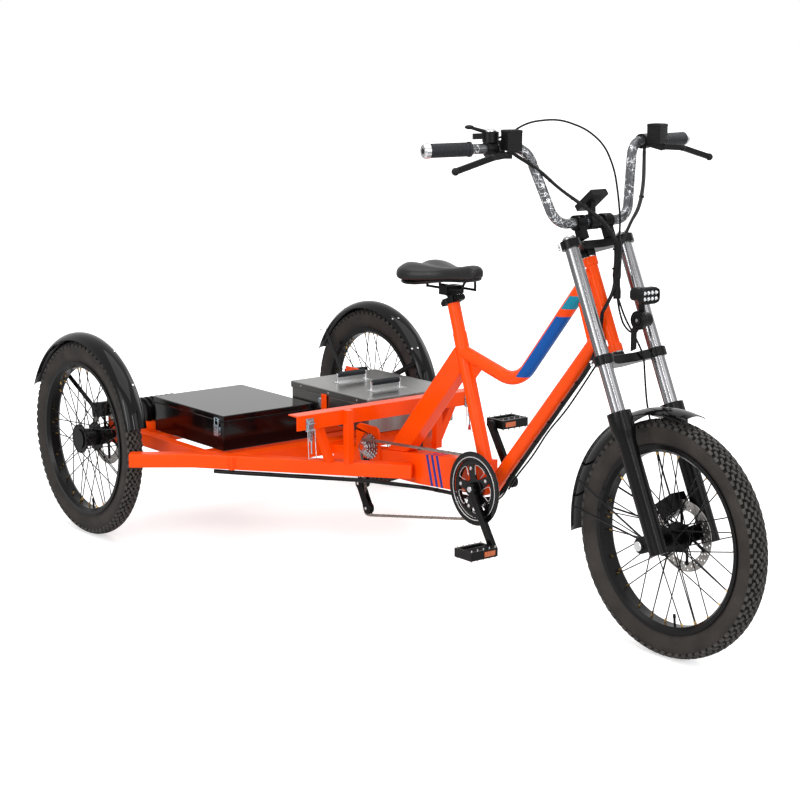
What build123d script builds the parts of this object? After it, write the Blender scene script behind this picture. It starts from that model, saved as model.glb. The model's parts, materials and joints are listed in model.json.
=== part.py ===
from build123d import *
import math
import os

# Electric cargo tricycle, millimetres, +X forward, +Y left, +Z up.
# The origin is on the floor, midway between the axles on the centre plane.

os.makedirs("parts", exist_ok=True)

# Overall layout
wheelbase = 1900.0
rear_track = 1090.0
running_fit = 0.05
soft_gap = 0.3
cut_overrun = 5.0

# Wheels
tyre_radius = 295.0
front_tyre_width = 60.0
rear_tyre_width = 50.0
tyre_bead_radius = 228.0
tyre_bead_width = 34.0
tyre_shoulder_share = 0.8
tyre_shoulder_drop = 11.0
tyre_bulge_height = 34.0
rim_inner_radius = 214.6
rim_flange_height = 5.0
rim_flange_width = 3.0
rim_width = 46.0
rim_base_width = 28.0
rim_shoulder_height = 8.0
spoke_diameter = 3.0
spokes_per_flange = 18
spoke_cross_angle = 44.0
spoke_rim_spread = 10.0
spoke_flange_spread = 5.0
spoke_hole_inset = 5.0
hub_flange_thickness = 4.0
rotor_diameter = 180.0
rotor_thickness = 3.0

front_flange_radius = 38.0
front_flange_spacing = 54.0
front_barrel_radius = 19.0
front_hub_end = 74.0
front_hub_boss_radius = 15.0
front_rotor_offset = 48.0
front_axle_diameter = 12.0
front_axle_reach = 110.0
front_nut_diameter = 24.0
front_nut_length = 9.0

rear_flange_radius = 44.0
rear_flange_spacing = 54.0
rear_barrel_radius = 27.0
rear_hub_outer_reach = 33.0
rear_hub_cap_radius = 30.0
rear_rotor_inset = 65.0
rear_shaft_diameter = 24.0
rear_shaft_depth = 120.0

# Steering head and fork, places on the steering plane: ahead of and up along the axis
head_lean = 24.5
head_back = 250.0
head_up = 544.0
head_tube_length = 246.0
head_tube_diameter = 30.0
head_ring_diameter = 36.0
head_ring_length = 20.0
steerer_diameter = 22.0
leg_spacing = 180.0
leg_lead = 42.0
stanchion_diameter = 35.0
stanchion_top = 166.0
lower_leg_diameter = 46.0
lower_leg_top = -278.0
lower_leg_foot = -632.0
collar_diameter = 60.0
collar_length = 44.0
collar_cone = 30.0
stanchion_engage = 60.0
axle_lug_radius = 20.0
axle_lug_width = 30.0
crown_front = 30.0
crown_back = 24.0
crown_waist = 16.0
crown_clamp_diameter = 50.0
lower_crown_height = 23.0
lower_crown_gap = 12.0
crown_race_gap = 2.0
upper_crown_height = 21.0
upper_crown_up = 149.0
riser_post_spacing = 90.0
riser_post_size = 22.0
bar_clamp_diameter = 38.0
bar_clamp_width = 30.0

# Handlebar, grips and controls
bar_diameter = 25.0
bar_ahead = 42.8
bar_up = 202.5
bar_low_half = 121.0
bar_bend_half = 180.0
bar_bend_ahead = 78.7
bar_bend_up = 392.0
bar_end_half = 440.0
bar_end_ahead = 14.5
bar_end_up = 417.6
bar_bend_radius = 52.0
grip_length = 118.0
grip_diameter = 36.0
grip_cap_length = 27.0
grip_cap_diameter = 34.0
perch_place = 236.0
perch_diameter = 38.0
perch_width = 30.0
reservoir_size = 38.0
reservoir_height = 50.0
reservoir_sink = 5.0
lever_thickness = 9.0
lever_height = 14.0
lever_root_half = 266.0
lever_root_ahead = 96.0
lever_root_up = 368.0
lever_elbow_half = 320.0
lever_elbow_ahead = 106.5
lever_elbow_up = 359.2
lever_tip_half = 428.0
lever_tip_ahead = 89.5
lever_tip_up = 336.2
lever_knuckle_diameter = 17.0
lever_ball_diameter = 19.0
shifter_place = 272.0
shifter_diameter = 40.0
shifter_width = 26.0
shifter_rise = 30.0
shifter_paddle_length = 46.0
display_width = 52.0
display_length = 72.0
display_thickness = 16.0
display_tilt = 38.0
display_ahead = 62.0
display_up = 252.0
display_arm_size = 14.0

# Lamp and horn on the lower crown
lamp_width = 62.0
lamp_height = 41.0
lamp_bezel_depth = 16.0
lamp_body_width = 44.0
lamp_body_height = 32.0
lamp_body_depth = 34.0
lamp_corner_share = 0.4
lamp_back = 87.0
lamp_up = 584.0
strap_back = 145.0
strap_width = 18.0
strap_thickness = 4.0
strap_low_up = 430.0
strap_knee_up = 490.0
strap_side = 4.0
horn_back = 121.0
horn_up = 521.0
horn_diameter = 47.0
horn_depth = 12.0
horn_rear_diameter = 34.0
horn_rear_depth = 22.0
horn_neck_diameter = 12.0

# Front mudguard and brake
front_guard_radius = 322.0
front_guard_width = 80.0
front_guard_crown = 12.0
guard_thickness = 2.5
front_guard_start = 78.0
front_guard_end = 187.0
guard_stay_diameter = 5.0
guard_stay_inset_angle = 12.0
guard_stay_spread_angle = 14.0
guard_bridge_angle = 34.0
guard_bridge_width = 30.0
guard_bridge_thickness = 3.0
caliper_length = 66.0
caliper_height = 44.0
front_caliper_inner = 31.0
front_caliper_outer = 76.0
caliper_slot_gap = 1.5
caliper_radius = 80.0
front_caliper_angle = 125.0
rear_caliper_angle = 100.0

# Frame, places ahead of the rear axle and above the axle height
bottom_bracket_ahead = 1232.0
bottom_bracket_up = 5.0
bottom_bracket_diameter = 44.0
bottom_bracket_width = 72.0
seat_top_ahead = 1072.0
seat_top_up = 483.0
seat_tube_diameter = 38.0
seat_sleeve_diameter = 35.0
seat_sleeve_length = 82.0
main_tube_diameter = 38.0
top_tube_bend_ahead = 1339.0
top_tube_bend_up = 299.0
top_tube_seat_up = 356.0
top_tube_head_place = 88.0
top_tube_bend_radius = 103.0
down_tube_foot_lead = 12.0
down_tube_head_place = -50.5
gusset_thickness = 5.0
head_gusset_top_share = 0.79
head_gusset_low_share = 0.85
seat_gusset_reach = 95.0
seat_gusset_drop = 90.0
stay_width = 40.0
stay_top_ahead = 1084.0
stay_top_up = 304.0
stay_low_ahead = 812.0
stay_low_up = -3.0
stay_depth = 62.0
beam_width = 50.0
beam_rear_ahead = 546.0
beam_rear_top = 3.0
beam_rear_bottom = -52.0
beam_mid_ahead = 957.0
beam_mid_top = 47.0
beam_mid_bottom = -40.0
beam_front_top = 74.0
beam_front_bottom = -20.0

# Load deck of square tube
deck_tube = 40.0
deck_top = 14.0
rail_front_ahead = 934.0
rail_front_half = 30.0
rail_bend_ahead = 430.0
rail_bend_out = 21.5
rail_end_ahead = 317.0
rail_end_half = 585.0
side_tube_width = 31.0
side_tube_rotor_gap = 64.0
side_tube_rear_ahead = -40.0
side_tube_front_ahead = 460.0
front_cross_ahead = 523.0
front_cross_width = 46.0
bar_height = 25.0
bar_width = 40.0
rear_bar_ahead = 70.0
mid_bar_ahead = 370.0
cross_rail_front = 795.0
cross_rail_depth = 43.0
cross_rail_height = 42.0
cross_rail_top = 165.0
cross_rail_half = 328.0
cross_rail_thickness = 4.0
post_size = 22.0
post_half = 160.0
brace_size = 22.0
brace_foot_ahead = 757.0
brace_foot_half = 184.0
brace_head_ahead = 776.0
brace_head_half = 258.0

# Rear axle, motor and brakes
axle_beam_diameter = 50.0
axle_beam_rotor_gap = 25.0
axle_plate_thickness = 6.0
axle_plate_width = 70.0
axle_plate_up = 107.0
axle_plate_down = 30.0
motor_diameter = 95.0
motor_length = 127.0
motor_ahead = -36.0
motor_up = 45.0
motor_inner_half = 213.0
motor_rib_width = 6.0
motor_rib_depth = 7.0
motor_rib_count = 7
motor_foot_width = 60.0
motor_foot_length = 70.0

# Drive
chain_line = 48.0
chain_width = 6.0
chain_height = 8.0
ring_pitch_radius = 85.0
ring_thickness = 3.0
ring_guard_diameter = 202.0
ring_guard_thickness = 3.0
ring_spider_diameter = 60.0
spindle_diameter = 20.0
crank_length = 170.0
crank_boss_diameter = 34.0
crank_end_width = 22.0
crank_thickness = 13.0
right_crank_offset = 68.0
left_crank_offset = 79.0
crank_angle = -57.7
pedal_length = 68.0
pedal_width = 92.0
pedal_thickness = 24.0
pedal_cage = 9.0
pedal_spindle_diameter = 12.0
pedal_spindle_gap = 6.0
cassette_ahead = 735.0
cassette_up = 32.0
cassette_pitch_radius = 22.0
cassette_width = 30.0
cassette_large_radius = 40.0
cassette_small_radius = 18.0
cassette_spacer_radius = 14.0
cassette_rings = 6
jack_plate_rear = 668.0
jack_plate_front = 778.0
jack_plate_low = -8.0
jack_plate_top = 92.0
jack_plate_thickness = 6.0
jack_shaft_diameter = 16.0
upper_jockey_ahead = 712.0
upper_jockey_up = -80.0
lower_jockey_ahead = 750.0
lower_jockey_up = -147.0
jockey_pitch_radius = 21.0
jockey_plate_diameter = 32.0
cage_width = 26.0
jockey_width = 5.0
derailleur_plate_thickness = 3.0
derailleur_body = 30.0
derailleur_hanger_width = 24.0
derailleur_hanger_thickness = 6.0

# Boxes
battery_rear = 25.0
battery_front = 414.0
battery_side_gap = 60.0
battery_left_half = 6.0
battery_top = 105.0
battery_lid_height = 18.0
lid_lip = 3.0
controller_rear = 289.0
controller_front = 678.0
controller_right_half = 6.0
controller_left_half = 328.0
controller_top = 155.0
controller_base = 52.0
box_bar_width = 30.0
box_bar_inset = 30.0
controller_lid_height = 20.0
box_edge_radius = 4.0
handle_length = 108.0
handle_rise = 24.0
handle_rod = 7.0
handle_grip_diameter = 14.0
handle_first_share = 0.3
handle_second_share = 0.74
handle_side_share = 0.44
latch_width = 26.0
latch_height = 36.0
latch_depth = 10.0
latch_side = 286.0
latch_drop = 20.0
bail_wire = 4.0
bail_width = 14.0
bail_length = 66.0
bail_foot_diameter = 9.0
bail_foot_length = 22.0

# Rear mudguards
rear_guard_radius = 321.0
rear_guard_width = 70.0
rear_guard_crown = 20.0
rear_guard_start = 14.0
rear_guard_end = 156.0
rear_stay_inset_angle = 16.0

# Saddle
saddle_nose_ahead = 1181.0
saddle_length = 274.0
saddle_width = 190.0
saddle_nose_width = 46.0
saddle_top_up = 592.0
saddle_depth = 52.0
saddle_edge_radius = 20.0
saddle_widest_share = 0.22
saddle_waist_share = 0.62
saddle_tail_share = 0.1
saddle_waist_width_share = 1.25
seat_post_diameter = 28.0
seat_post_engage = 70.0
seat_rail_diameter = 7.0
seat_rail_spacing = 44.0
seat_rail_length = 150.0
seat_rail_drop = 16.0
seat_clamp_size = 34.0
collar_band_diameter = 44.0
collar_band_height = 16.0

# Cables, held by ties along the frame and the fork
cable_arc_share = 0.45
shift_cable_diameter = 5.0
bar_bundle_diameter = 8.0
trunk_diameter = 18.0
branch_diameter = 9.0
brake_hose_diameter = 5.0
frame_bundle_diameter = 11.0
frame_wire_diameter = 5.0

# Routes on the fork, ahead of, beside and up along the steering axis
shift_cable_route = [(66, -216, 430), (104, -175, 446), (158, -125, 431), (192, -78, 388),
                     (196, -40, 344), (178, -12, 287), (149, 3, 222), (128, 8, 170),
                     (104, 8, 127)]
right_bundle_route = [(72, -214, 376), (78, -158, 330), (82, -112, 278), (95, -62, 225),
                      (106, -25, 178), (103, 4, 124)]
left_bundle_route = [(76, 214, 366), (92, 158, 270), (104, 108, 210), (110, 60, 172),
                     (98, 16, 118)]
trunk_route = [(104, 8, 132), (82, 11, 92), (58, 12, 48), (40, 12, 2)]
branch_route = [(58, 9, 48), (43, 2, 18), (29, -12, -4), (17, -27, -24)]
lamp_wire_route = [(41, 14, 6), (33, 15, -30), (36, 13, -65), (52, 11, -88), (70, 8.7, -93)]
brake_hose_route = [(40, 17, 4), (38, 22, -50), (46, 32, -105), (45, 42, -150),
                    (14, 54, -205), (-12, 62, -264), (-19, 62, -340), (-19, 58, -420),
                    (-13, 53.5, -494)]
# Routes on the frame, ahead of the rear axle, beside and above the axles
frame_bundle_route = [(1671, -27, 484), (1647, -20, 422), (1600, -6, 370), (1315, -2, 40),
                      (1270, -6, -21), (1190, -10, -41), (1075, -11, -44), (965, -14, -50),
                      (905, -62, -45), (838, -119, -38), (560, -344, -36), (482, -402, -36)]
frame_wire_route = [(1622, 6, 386), (1570, 4, 318), (1520, 2, 255), (1452, 2, 188),
                    (1400, 2, 118), (1335, 2, 50), (1304, 2, 8)]

# Places that follow from the sizes above
front_x = wheelbase / 2
rear_x = -wheelbase / 2
axle_z = tyre_radius
wheel_half = rear_track / 2
rotor_line = wheel_half - rear_rotor_inset
axle_beam_half = rotor_line - axle_beam_rotor_gap
side_tube_outer_half = rotor_line - side_tube_rotor_gap
side_tube_inner_half = side_tube_outer_half - side_tube_width
FROM_END = (Align.CENTER, Align.CENTER, Align.MIN)
TO_RIGHT = Vector(0, -1, 0)
TO_LEFT = Vector(0, 1, 0)


def frame_point(ahead, up, side=0):
    """A point on the frame, measured from the middle of the rear axle."""
    return Vector(rear_x + ahead, side, axle_z + up)


lean = math.radians(head_lean)
axis_up = Vector(-math.sin(lean), 0, math.cos(lean))
axis_ahead = Vector(math.cos(lean), 0, math.sin(lean))
head_middle = Vector(front_x - head_back, 0, axle_z + head_up)
front_axle = Vector(front_x, 0, axle_z)
steering_plane = Plane(origin=head_middle, x_dir=axis_ahead, z_dir=axis_up)


def fork_point(ahead, side, up):
    """A point on the steered parts, in the leaning frame of the steering axis."""
    return head_middle + axis_ahead * ahead + axis_up * up + TO_LEFT * side


def rod(start, end, diameter, mode=Mode.ADD):
    """A round bar between two points."""
    run = end - start
    with Locations(Plane(origin=start, z_dir=run).location):
        Cylinder(diameter / 2, run.length, align=FROM_END, mode=mode)


def square_bar(start, end, width, height, up=Vector(0, 0, 1), mode=Mode.ADD):
    """A rectangular bar between two points, its height along the up direction."""
    run = end - start
    across = up.cross(run)
    with Locations(Plane(origin=start, x_dir=across, z_dir=run).location):
        Box(width, height, run.length, align=FROM_END, mode=mode)


def block(low, high, mode=Mode.ADD):
    """A box from its lowest to its highest corner."""
    size = high - low
    with Locations((low + high) * 0.5):
        Box(size.X, size.Y, size.Z, mode=mode)


def bent_tube(points, radii, diameter):
    """A round tube along straight runs joined by arcs."""
    with BuildLine() as path:
        FilletPolyline(*points, radius=radii)
    with BuildSketch(Plane(origin=path.line @ 0, z_dir=path.line % 0)) as section:
        Circle(diameter / 2)
    sweep(sections=section.sketch, path=path.line)


def cable(points, diameter):
    """A round cable along hand-placed points, its arcs as large as the runs allow."""
    radii = []
    for before, here, after in zip(points, points[1:], points[2:]):
        arriving = here - before
        leaving = after - here
        half_turn = math.radians(arriving.get_angle(leaving)) / 2
        shorter = min(arriving.length, leaving.length)
        radii.append(cable_arc_share * shorter / math.tan(half_turn))
    bent_tube(points, radii, diameter)


def turned(centre, outline):
    """A ring turned about the axle from (radius, offset) corners."""
    plane = Plane(origin=centre, x_dir=(0, 0, 1), z_dir=(-1, 0, 0))
    with BuildSketch(plane) as section:
        with BuildLine():
            Polyline(*outline, close=True)
        make_face()
    revolve(section.sketch, axis=Axis(centre, (0, 1, 0)))


def around_axle(centre, radius, angle, side):
    """A point at an angle above the forward direction, round an axle."""
    turn = math.radians(angle)
    return centre + Vector(radius * math.cos(turn), side, radius * math.sin(turn))


def arched_guard(centre, radius, width, crown, start, end):
    """A curved mudguard, arched across its width, round an axle."""
    first = around_axle(Vector(0, 0, 0), 1, start, 0)
    plane = Plane(origin=centre, x_dir=first, z_dir=first.cross(TO_LEFT))
    with BuildSketch(plane) as section:
        with BuildLine():
            inner = radius - guard_thickness
            edge = width / 2
            left = Line((radius - crown, edge), (inner - crown, edge))
            ThreePointArc(left @ 1, (inner, 0), (inner - crown, -edge))
            Line((inner - crown, -edge), (radius - crown, -edge))
            ThreePointArc((radius - crown, -edge), (radius, 0), left @ 0)
        make_face()
    turn_axis = Axis(centre, (0, -1, 0))
    revolve(section.sketch, axis=turn_axis, revolution_arc=end - start)


def save(builder, name):
    """Label a finished piece and write it to its own file."""
    builder.part.label = name
    export_step(builder.part, f"parts/{name}.step")


# Wheels: name, centre, tyre width, flange radius, flange spacing, barrel radius
wheels = [
    ("front", front_axle, front_tyre_width, front_flange_radius, front_flange_spacing,
     front_barrel_radius),
    ("rear_right", frame_point(0, 0, -wheel_half), rear_tyre_width, rear_flange_radius,
     rear_flange_spacing, rear_barrel_radius),
    ("rear_left", frame_point(0, 0, wheel_half), rear_tyre_width, rear_flange_radius,
     rear_flange_spacing, rear_barrel_radius),
]
bead_half = tyre_bead_width / 2
rim_half = rim_width / 2
rim_base_half = rim_base_width / 2
flange_inner_half = rim_half - rim_flange_width
rim_outer = tyre_bead_radius + rim_flange_height

for name, centre, tyre_width, flange_radius, flange_spacing, barrel_radius in wheels:
    tyre_half = tyre_width / 2
    shoulder_half = tyre_half * tyre_shoulder_share
    # Tyre: square-shouldered section, out to the tips of its tread blocks
    shoulder_radius = tyre_radius - tyre_shoulder_drop
    bulge_radius = tyre_bead_radius + tyre_bulge_height
    tyre_plane = Plane(origin=centre, x_dir=(0, 0, 1), z_dir=(-1, 0, 0))
    with BuildPart() as tyre:
        with BuildSketch(tyre_plane):
            with BuildLine():
                Line((tyre_bead_radius, bead_half), (tyre_bead_radius, -bead_half))
                Line((tyre_bead_radius, -bead_half), (rim_outer, -bead_half))
                right_wall = ThreePointArc((rim_outer, -bead_half), (bulge_radius, -tyre_half),
                                           (shoulder_radius, -shoulder_half))
                ThreePointArc(right_wall @ 1, (tyre_radius, 0), (shoulder_radius, shoulder_half))
                left_wall = ThreePointArc((shoulder_radius, shoulder_half),
                                          (bulge_radius, tyre_half), (rim_outer, bead_half))
                Line(left_wall @ 1, (tyre_bead_radius, bead_half))
            make_face()
        revolve(axis=Axis(centre, (0, 1, 0)))
    save(tyre, f"{name}_tyre")

    # Hub: barrel, two spoke flanges, and the brake rotor on its carrier
    flange_half = flange_spacing / 2
    flange_out = flange_half + hub_flange_thickness / 2
    flange_in = flange_half - hub_flange_thickness / 2
    rotor_half = rotor_thickness / 2
    with BuildPart() as hub:
        if name == "front":
            end = front_hub_end
            boss = front_hub_boss_radius
            rotor_at = front_rotor_offset
            turned(centre, [(0, -end), (boss, -end), (boss, end), (0, end)])
            rotor_side = 1
        else:
            end = rear_hub_outer_reach
            rotor_at = rear_rotor_inset
            rotor_side = -1 if centre.Y > 0 else 1
            shaft = rear_shaft_diameter / 2
            inner_end = (rotor_at + rear_shaft_depth) * rotor_side
            outer_end = -end * rotor_side
            turned(centre, [(0, inner_end), (shaft, inner_end), (shaft, outer_end),
                            (0, outer_end)])
            turned(centre, [(0, outer_end), (rear_hub_cap_radius, outer_end),
                            (rear_hub_cap_radius, -flange_half * rotor_side),
                            (0, -flange_half * rotor_side)])
        turned(centre, [(0, -flange_half), (barrel_radius, -flange_half),
                        (barrel_radius, flange_half), (0, flange_half)])
        for side in (-1, 1):
            turned(centre, [(0, side * flange_in), (flange_radius, side * flange_in),
                            (flange_radius, side * flange_out), (0, side * flange_out)])
        turned(centre, [(0, 0), (barrel_radius, 0), (barrel_radius, rotor_side * rotor_at),
                        (0, rotor_side * rotor_at)])
        rotor_low = rotor_side * rotor_at - rotor_half
        rotor_high = rotor_side * rotor_at + rotor_half
        turned(centre, [(0, rotor_low), (rotor_diameter / 2, rotor_low),
                        (rotor_diameter / 2, rotor_high), (0, rotor_high)])
        if name == "front":
            axle_bore = front_axle_diameter / 2 + running_fit
            reach = front_hub_end + cut_overrun
            with Locations(Plane(origin=centre, z_dir=TO_LEFT).location):
                Cylinder(axle_bore, reach * 2, mode=Mode.SUBTRACT)
    save(hub, f"{name}_hub")

    # Rim and its laced spokes, their heads at the hub flanges
    rim_section = [
        (rim_inner_radius, -rim_base_half), (rim_inner_radius, rim_base_half),
        (rim_inner_radius + rim_shoulder_height, rim_half), (rim_outer, rim_half),
        (rim_outer, flange_inner_half), (tyre_bead_radius, flange_inner_half),
        (tyre_bead_radius, -flange_inner_half), (rim_outer, -flange_inner_half),
        (rim_outer, -rim_half), (rim_inner_radius + rim_shoulder_height, -rim_half),
    ]
    hole_radius = flange_radius - spoke_hole_inset
    nipple_radius = rim_inner_radius + rim_shoulder_height / 2
    with BuildPart() as rim:
        turned(centre, rim_section)
        for side in (-1, 1):
            for index in range(spokes_per_flange):
                leaning = 1 if index % 2 == 0 else -1
                hub_angle = 360 * (index + (side + 1) / 4) / spokes_per_flange
                rim_angle = hub_angle + leaning * spoke_cross_angle
                hub_side = side * (flange_half + leaning * spoke_flange_spread / 2)
                rod(around_axle(centre, hole_radius, hub_angle, hub_side),
                    around_axle(centre, nipple_radius, rim_angle, side * spoke_rim_spread / 2),
                    spoke_diameter)
        add(hub.part, mode=Mode.SUBTRACT)
    save(rim, f"{name}_rim")

# Front axle and fork
leg_half = leg_spacing / 2
lower_crown_top = -head_tube_length / 2 - lower_crown_gap
lower_crown_low = lower_crown_top - lower_crown_height
upper_crown_low = upper_crown_up - upper_crown_height / 2
upper_crown_high = upper_crown_up + upper_crown_height / 2
sides = (-1, 1)


def crown_plate(low, high):
    """A fork crown: a waisted bridge with a round clamp at each leg."""
    with BuildSketch(steering_plane.offset(low)) as outline:
        Polygon(
            (-crown_back, -crown_back), (-crown_back, crown_back),
            (leg_lead - crown_waist, leg_half), (leg_lead + crown_waist, leg_half),
            (crown_front, crown_front), (crown_front, -crown_front),
            (leg_lead + crown_waist, -leg_half), (leg_lead - crown_waist, -leg_half),
            align=None)
        with Locations((leg_lead, -leg_half), (leg_lead, leg_half)):
            Circle(crown_clamp_diameter / 2)
    extrude(outline.sketch, amount=high - low)


with BuildPart() as stanchions:
    for side in sides:
        rod(fork_point(leg_lead, side * leg_half, lower_leg_top - stanchion_engage),
            fork_point(leg_lead, side * leg_half, stanchion_top), stanchion_diameter)
save(stanchions, "stanchions")

with BuildPart() as fork_lowers:
    for side in sides:
        foot = fork_point(leg_lead, side * leg_half, lower_leg_foot)
        collar_foot = fork_point(leg_lead, side * leg_half, lower_leg_top - collar_length)
        cone_foot = collar_foot - axis_up * collar_cone
        top = fork_point(leg_lead, side * leg_half, lower_leg_top)
        rod(foot, top, lower_leg_diameter)
        rod(collar_foot, top, collar_diameter)
        with Locations(Plane(origin=cone_foot, z_dir=axis_up).location):
            Cone(lower_leg_diameter / 2, collar_diameter / 2, collar_cone, align=FROM_END)
        lug_inner = side * (leg_half - axle_lug_width / 2)
        lug_outer = side * (leg_half + axle_lug_width / 2)
        rod(front_axle + TO_LEFT * lug_inner, front_axle + TO_LEFT * lug_outer,
            axle_lug_radius * 2)
        lug_back = front_axle + TO_LEFT * (side * leg_half)
        leg_at_axle = lug_back + axis_ahead * leg_lead
        square_bar(lug_back, leg_at_axle, axle_lug_width, axle_lug_radius * 2, up=axis_up)
    rod(front_axle - TO_LEFT * front_axle_reach, front_axle + TO_LEFT * front_axle_reach,
        front_axle_diameter, mode=Mode.SUBTRACT)
    add(stanchions.part, mode=Mode.SUBTRACT)
save(fork_lowers, "fork_lowers")

with BuildPart() as front_axle_bolt:
    rod(front_axle - TO_LEFT * front_axle_reach, front_axle + TO_LEFT * front_axle_reach,
        front_axle_diameter)
    for side in sides:
        nut_inner = side * (leg_half + axle_lug_width / 2)
        rod(front_axle + TO_LEFT * nut_inner,
            front_axle + TO_LEFT * (nut_inner + side * front_nut_length), front_nut_diameter)
save(front_axle_bolt, "front_axle")

with BuildPart() as lower_crown:
    crown_plate(lower_crown_low, lower_crown_top)
    rod(fork_point(0, 0, lower_crown_top), fork_point(0, 0, upper_crown_low), steerer_diameter)
    rod(fork_point(0, 0, lower_crown_top),
        fork_point(0, 0, -head_tube_length / 2 - crown_race_gap), head_ring_diameter)
    add(stanchions.part, mode=Mode.SUBTRACT)
save(lower_crown, "lower_crown")

with BuildPart() as upper_crown:
    crown_plate(upper_crown_low, upper_crown_high)
    rod(fork_point(0, 0, head_tube_length / 2 + crown_race_gap),
        fork_point(0, 0, upper_crown_low), head_ring_diameter)
    for side in sides:
        post_at = side * riser_post_spacing / 2
        square_bar(fork_point(bar_ahead, post_at, upper_crown_high),
                   fork_point(bar_ahead, post_at, bar_up), riser_post_size, riser_post_size,
                   up=TO_LEFT)
        rod(fork_point(bar_ahead, post_at - bar_clamp_width / 2, bar_up),
            fork_point(bar_ahead, post_at + bar_clamp_width / 2, bar_up), bar_clamp_diameter)
    rod(fork_point(bar_ahead, -bar_low_half, bar_up), fork_point(bar_ahead, bar_low_half, bar_up),
        bar_diameter, mode=Mode.SUBTRACT)
    rod(fork_point(0, 0, lower_crown_top), fork_point(0, 0, upper_crown_low), steerer_diameter,
        mode=Mode.SUBTRACT)
    add(stanchions.part, mode=Mode.SUBTRACT)
save(upper_crown, "upper_crown")

# Handlebar with swept-back ends
bar_points = [
    fork_point(bar_end_ahead, -bar_end_half, bar_end_up),
    fork_point(bar_bend_ahead, -bar_bend_half, bar_bend_up),
    fork_point(bar_ahead, -bar_low_half, bar_up),
    fork_point(bar_ahead, bar_low_half, bar_up),
    fork_point(bar_bend_ahead, bar_bend_half, bar_bend_up),
    fork_point(bar_end_ahead, bar_end_half, bar_end_up),
]
with BuildPart() as handlebar:
    bent_tube(bar_points, bar_bend_radius, bar_diameter)
save(handlebar, "handlebar")


def bar_place(side, half):
    """A point on the swept end of the bar, at a distance from the centre plane."""
    share = (half - bar_bend_half) / (bar_end_half - bar_bend_half)
    ahead = bar_bend_ahead + (bar_end_ahead - bar_bend_ahead) * share
    up = bar_bend_up + (bar_end_up - bar_bend_up) * share
    return fork_point(ahead, side * half, up)


with BuildPart() as grips:
    for side in sides:
        outer = bar_place(side, bar_end_half)
        sweep_out = (outer - bar_place(side, bar_bend_half)).normalized()
        inner = outer - sweep_out * grip_length
        rod(inner, outer, grip_diameter)
        rod(outer, outer + sweep_out * grip_cap_length / 4, grip_cap_diameter)
        rod(inner - sweep_out * grip_cap_length, inner, grip_cap_diameter)
    add(handlebar.part, mode=Mode.SUBTRACT)
save(grips, "grips")

with BuildPart() as brake_levers:
    outer = bar_place(-1, bar_end_half)
    sweep_out = (outer - bar_place(-1, bar_bend_half)).normalized()
    bar_forward = Vector(0, 0, -1).cross(sweep_out).normalized() * -1
    perch = bar_place(-1, perch_place)
    rod(perch - sweep_out * perch_width / 2, perch + sweep_out * perch_width / 2,
        perch_diameter)
    lid = perch + bar_forward * (perch_diameter + reservoir_size) / 2
    lid = lid - Vector(0, 0, reservoir_sink)
    with Locations(Plane(origin=lid, x_dir=sweep_out, z_dir=(0, 0, 1)).location):
        Box(reservoir_size, reservoir_size, reservoir_height, align=FROM_END)
    root = fork_point(lever_root_ahead, -lever_root_half, lever_root_up)
    elbow = fork_point(lever_elbow_ahead, -lever_elbow_half, lever_elbow_up)
    tip = fork_point(lever_tip_ahead, -lever_tip_half, lever_tip_up)
    square_bar(perch, root, perch_width, perch_diameter / 2)
    square_bar(root, elbow, lever_thickness, lever_height)
    square_bar(elbow, tip, lever_thickness, lever_height)
    with Locations(root, elbow):
        Sphere(lever_knuckle_diameter / 2)
    with Locations(tip):
        Sphere(lever_ball_diameter / 2)
    add(handlebar.part, mode=Mode.SUBTRACT)
    mirror(about=Plane.XZ)
save(brake_levers, "brake_levers")

with BuildPart() as thumb_shifter:
    outer = bar_place(-1, bar_end_half)
    sweep_out = (outer - bar_place(-1, bar_bend_half)).normalized()
    clamp = bar_place(-1, shifter_place)
    rod(clamp - sweep_out * shifter_width / 2, clamp + sweep_out * shifter_width / 2,
        shifter_diameter)
    pod = clamp + Vector(0, 0, shifter_rise)
    rod(pod - Vector(0, 0, shifter_rise / 2), pod + Vector(0, 0, shifter_rise / 3),
        shifter_diameter)
    square_bar(pod, pod + sweep_out * shifter_paddle_length, lever_thickness, lever_height)
    add(handlebar.part, mode=Mode.SUBTRACT)
save(thumb_shifter, "thumb_shifter")

with BuildPart() as display:
    middle = fork_point(display_ahead, 0, display_up)
    tilt = math.radians(display_tilt)
    face_ahead = Vector(math.cos(tilt), 0, math.sin(tilt))
    face_up = Vector(-math.sin(tilt), 0, math.cos(tilt))
    with Locations(Plane(origin=middle, x_dir=face_ahead, z_dir=face_up).location):
        Box(display_length, display_width, display_thickness)
    square_bar(fork_point(bar_ahead, 0, bar_up), middle, display_arm_size, display_arm_size,
               up=TO_LEFT)
    clamp_half = (riser_post_spacing - bar_clamp_width) / 4
    rod(fork_point(bar_ahead, -clamp_half, bar_up), fork_point(bar_ahead, clamp_half, bar_up),
        bar_clamp_diameter)
    add(handlebar.part, mode=Mode.SUBTRACT)
save(display, "display")

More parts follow.
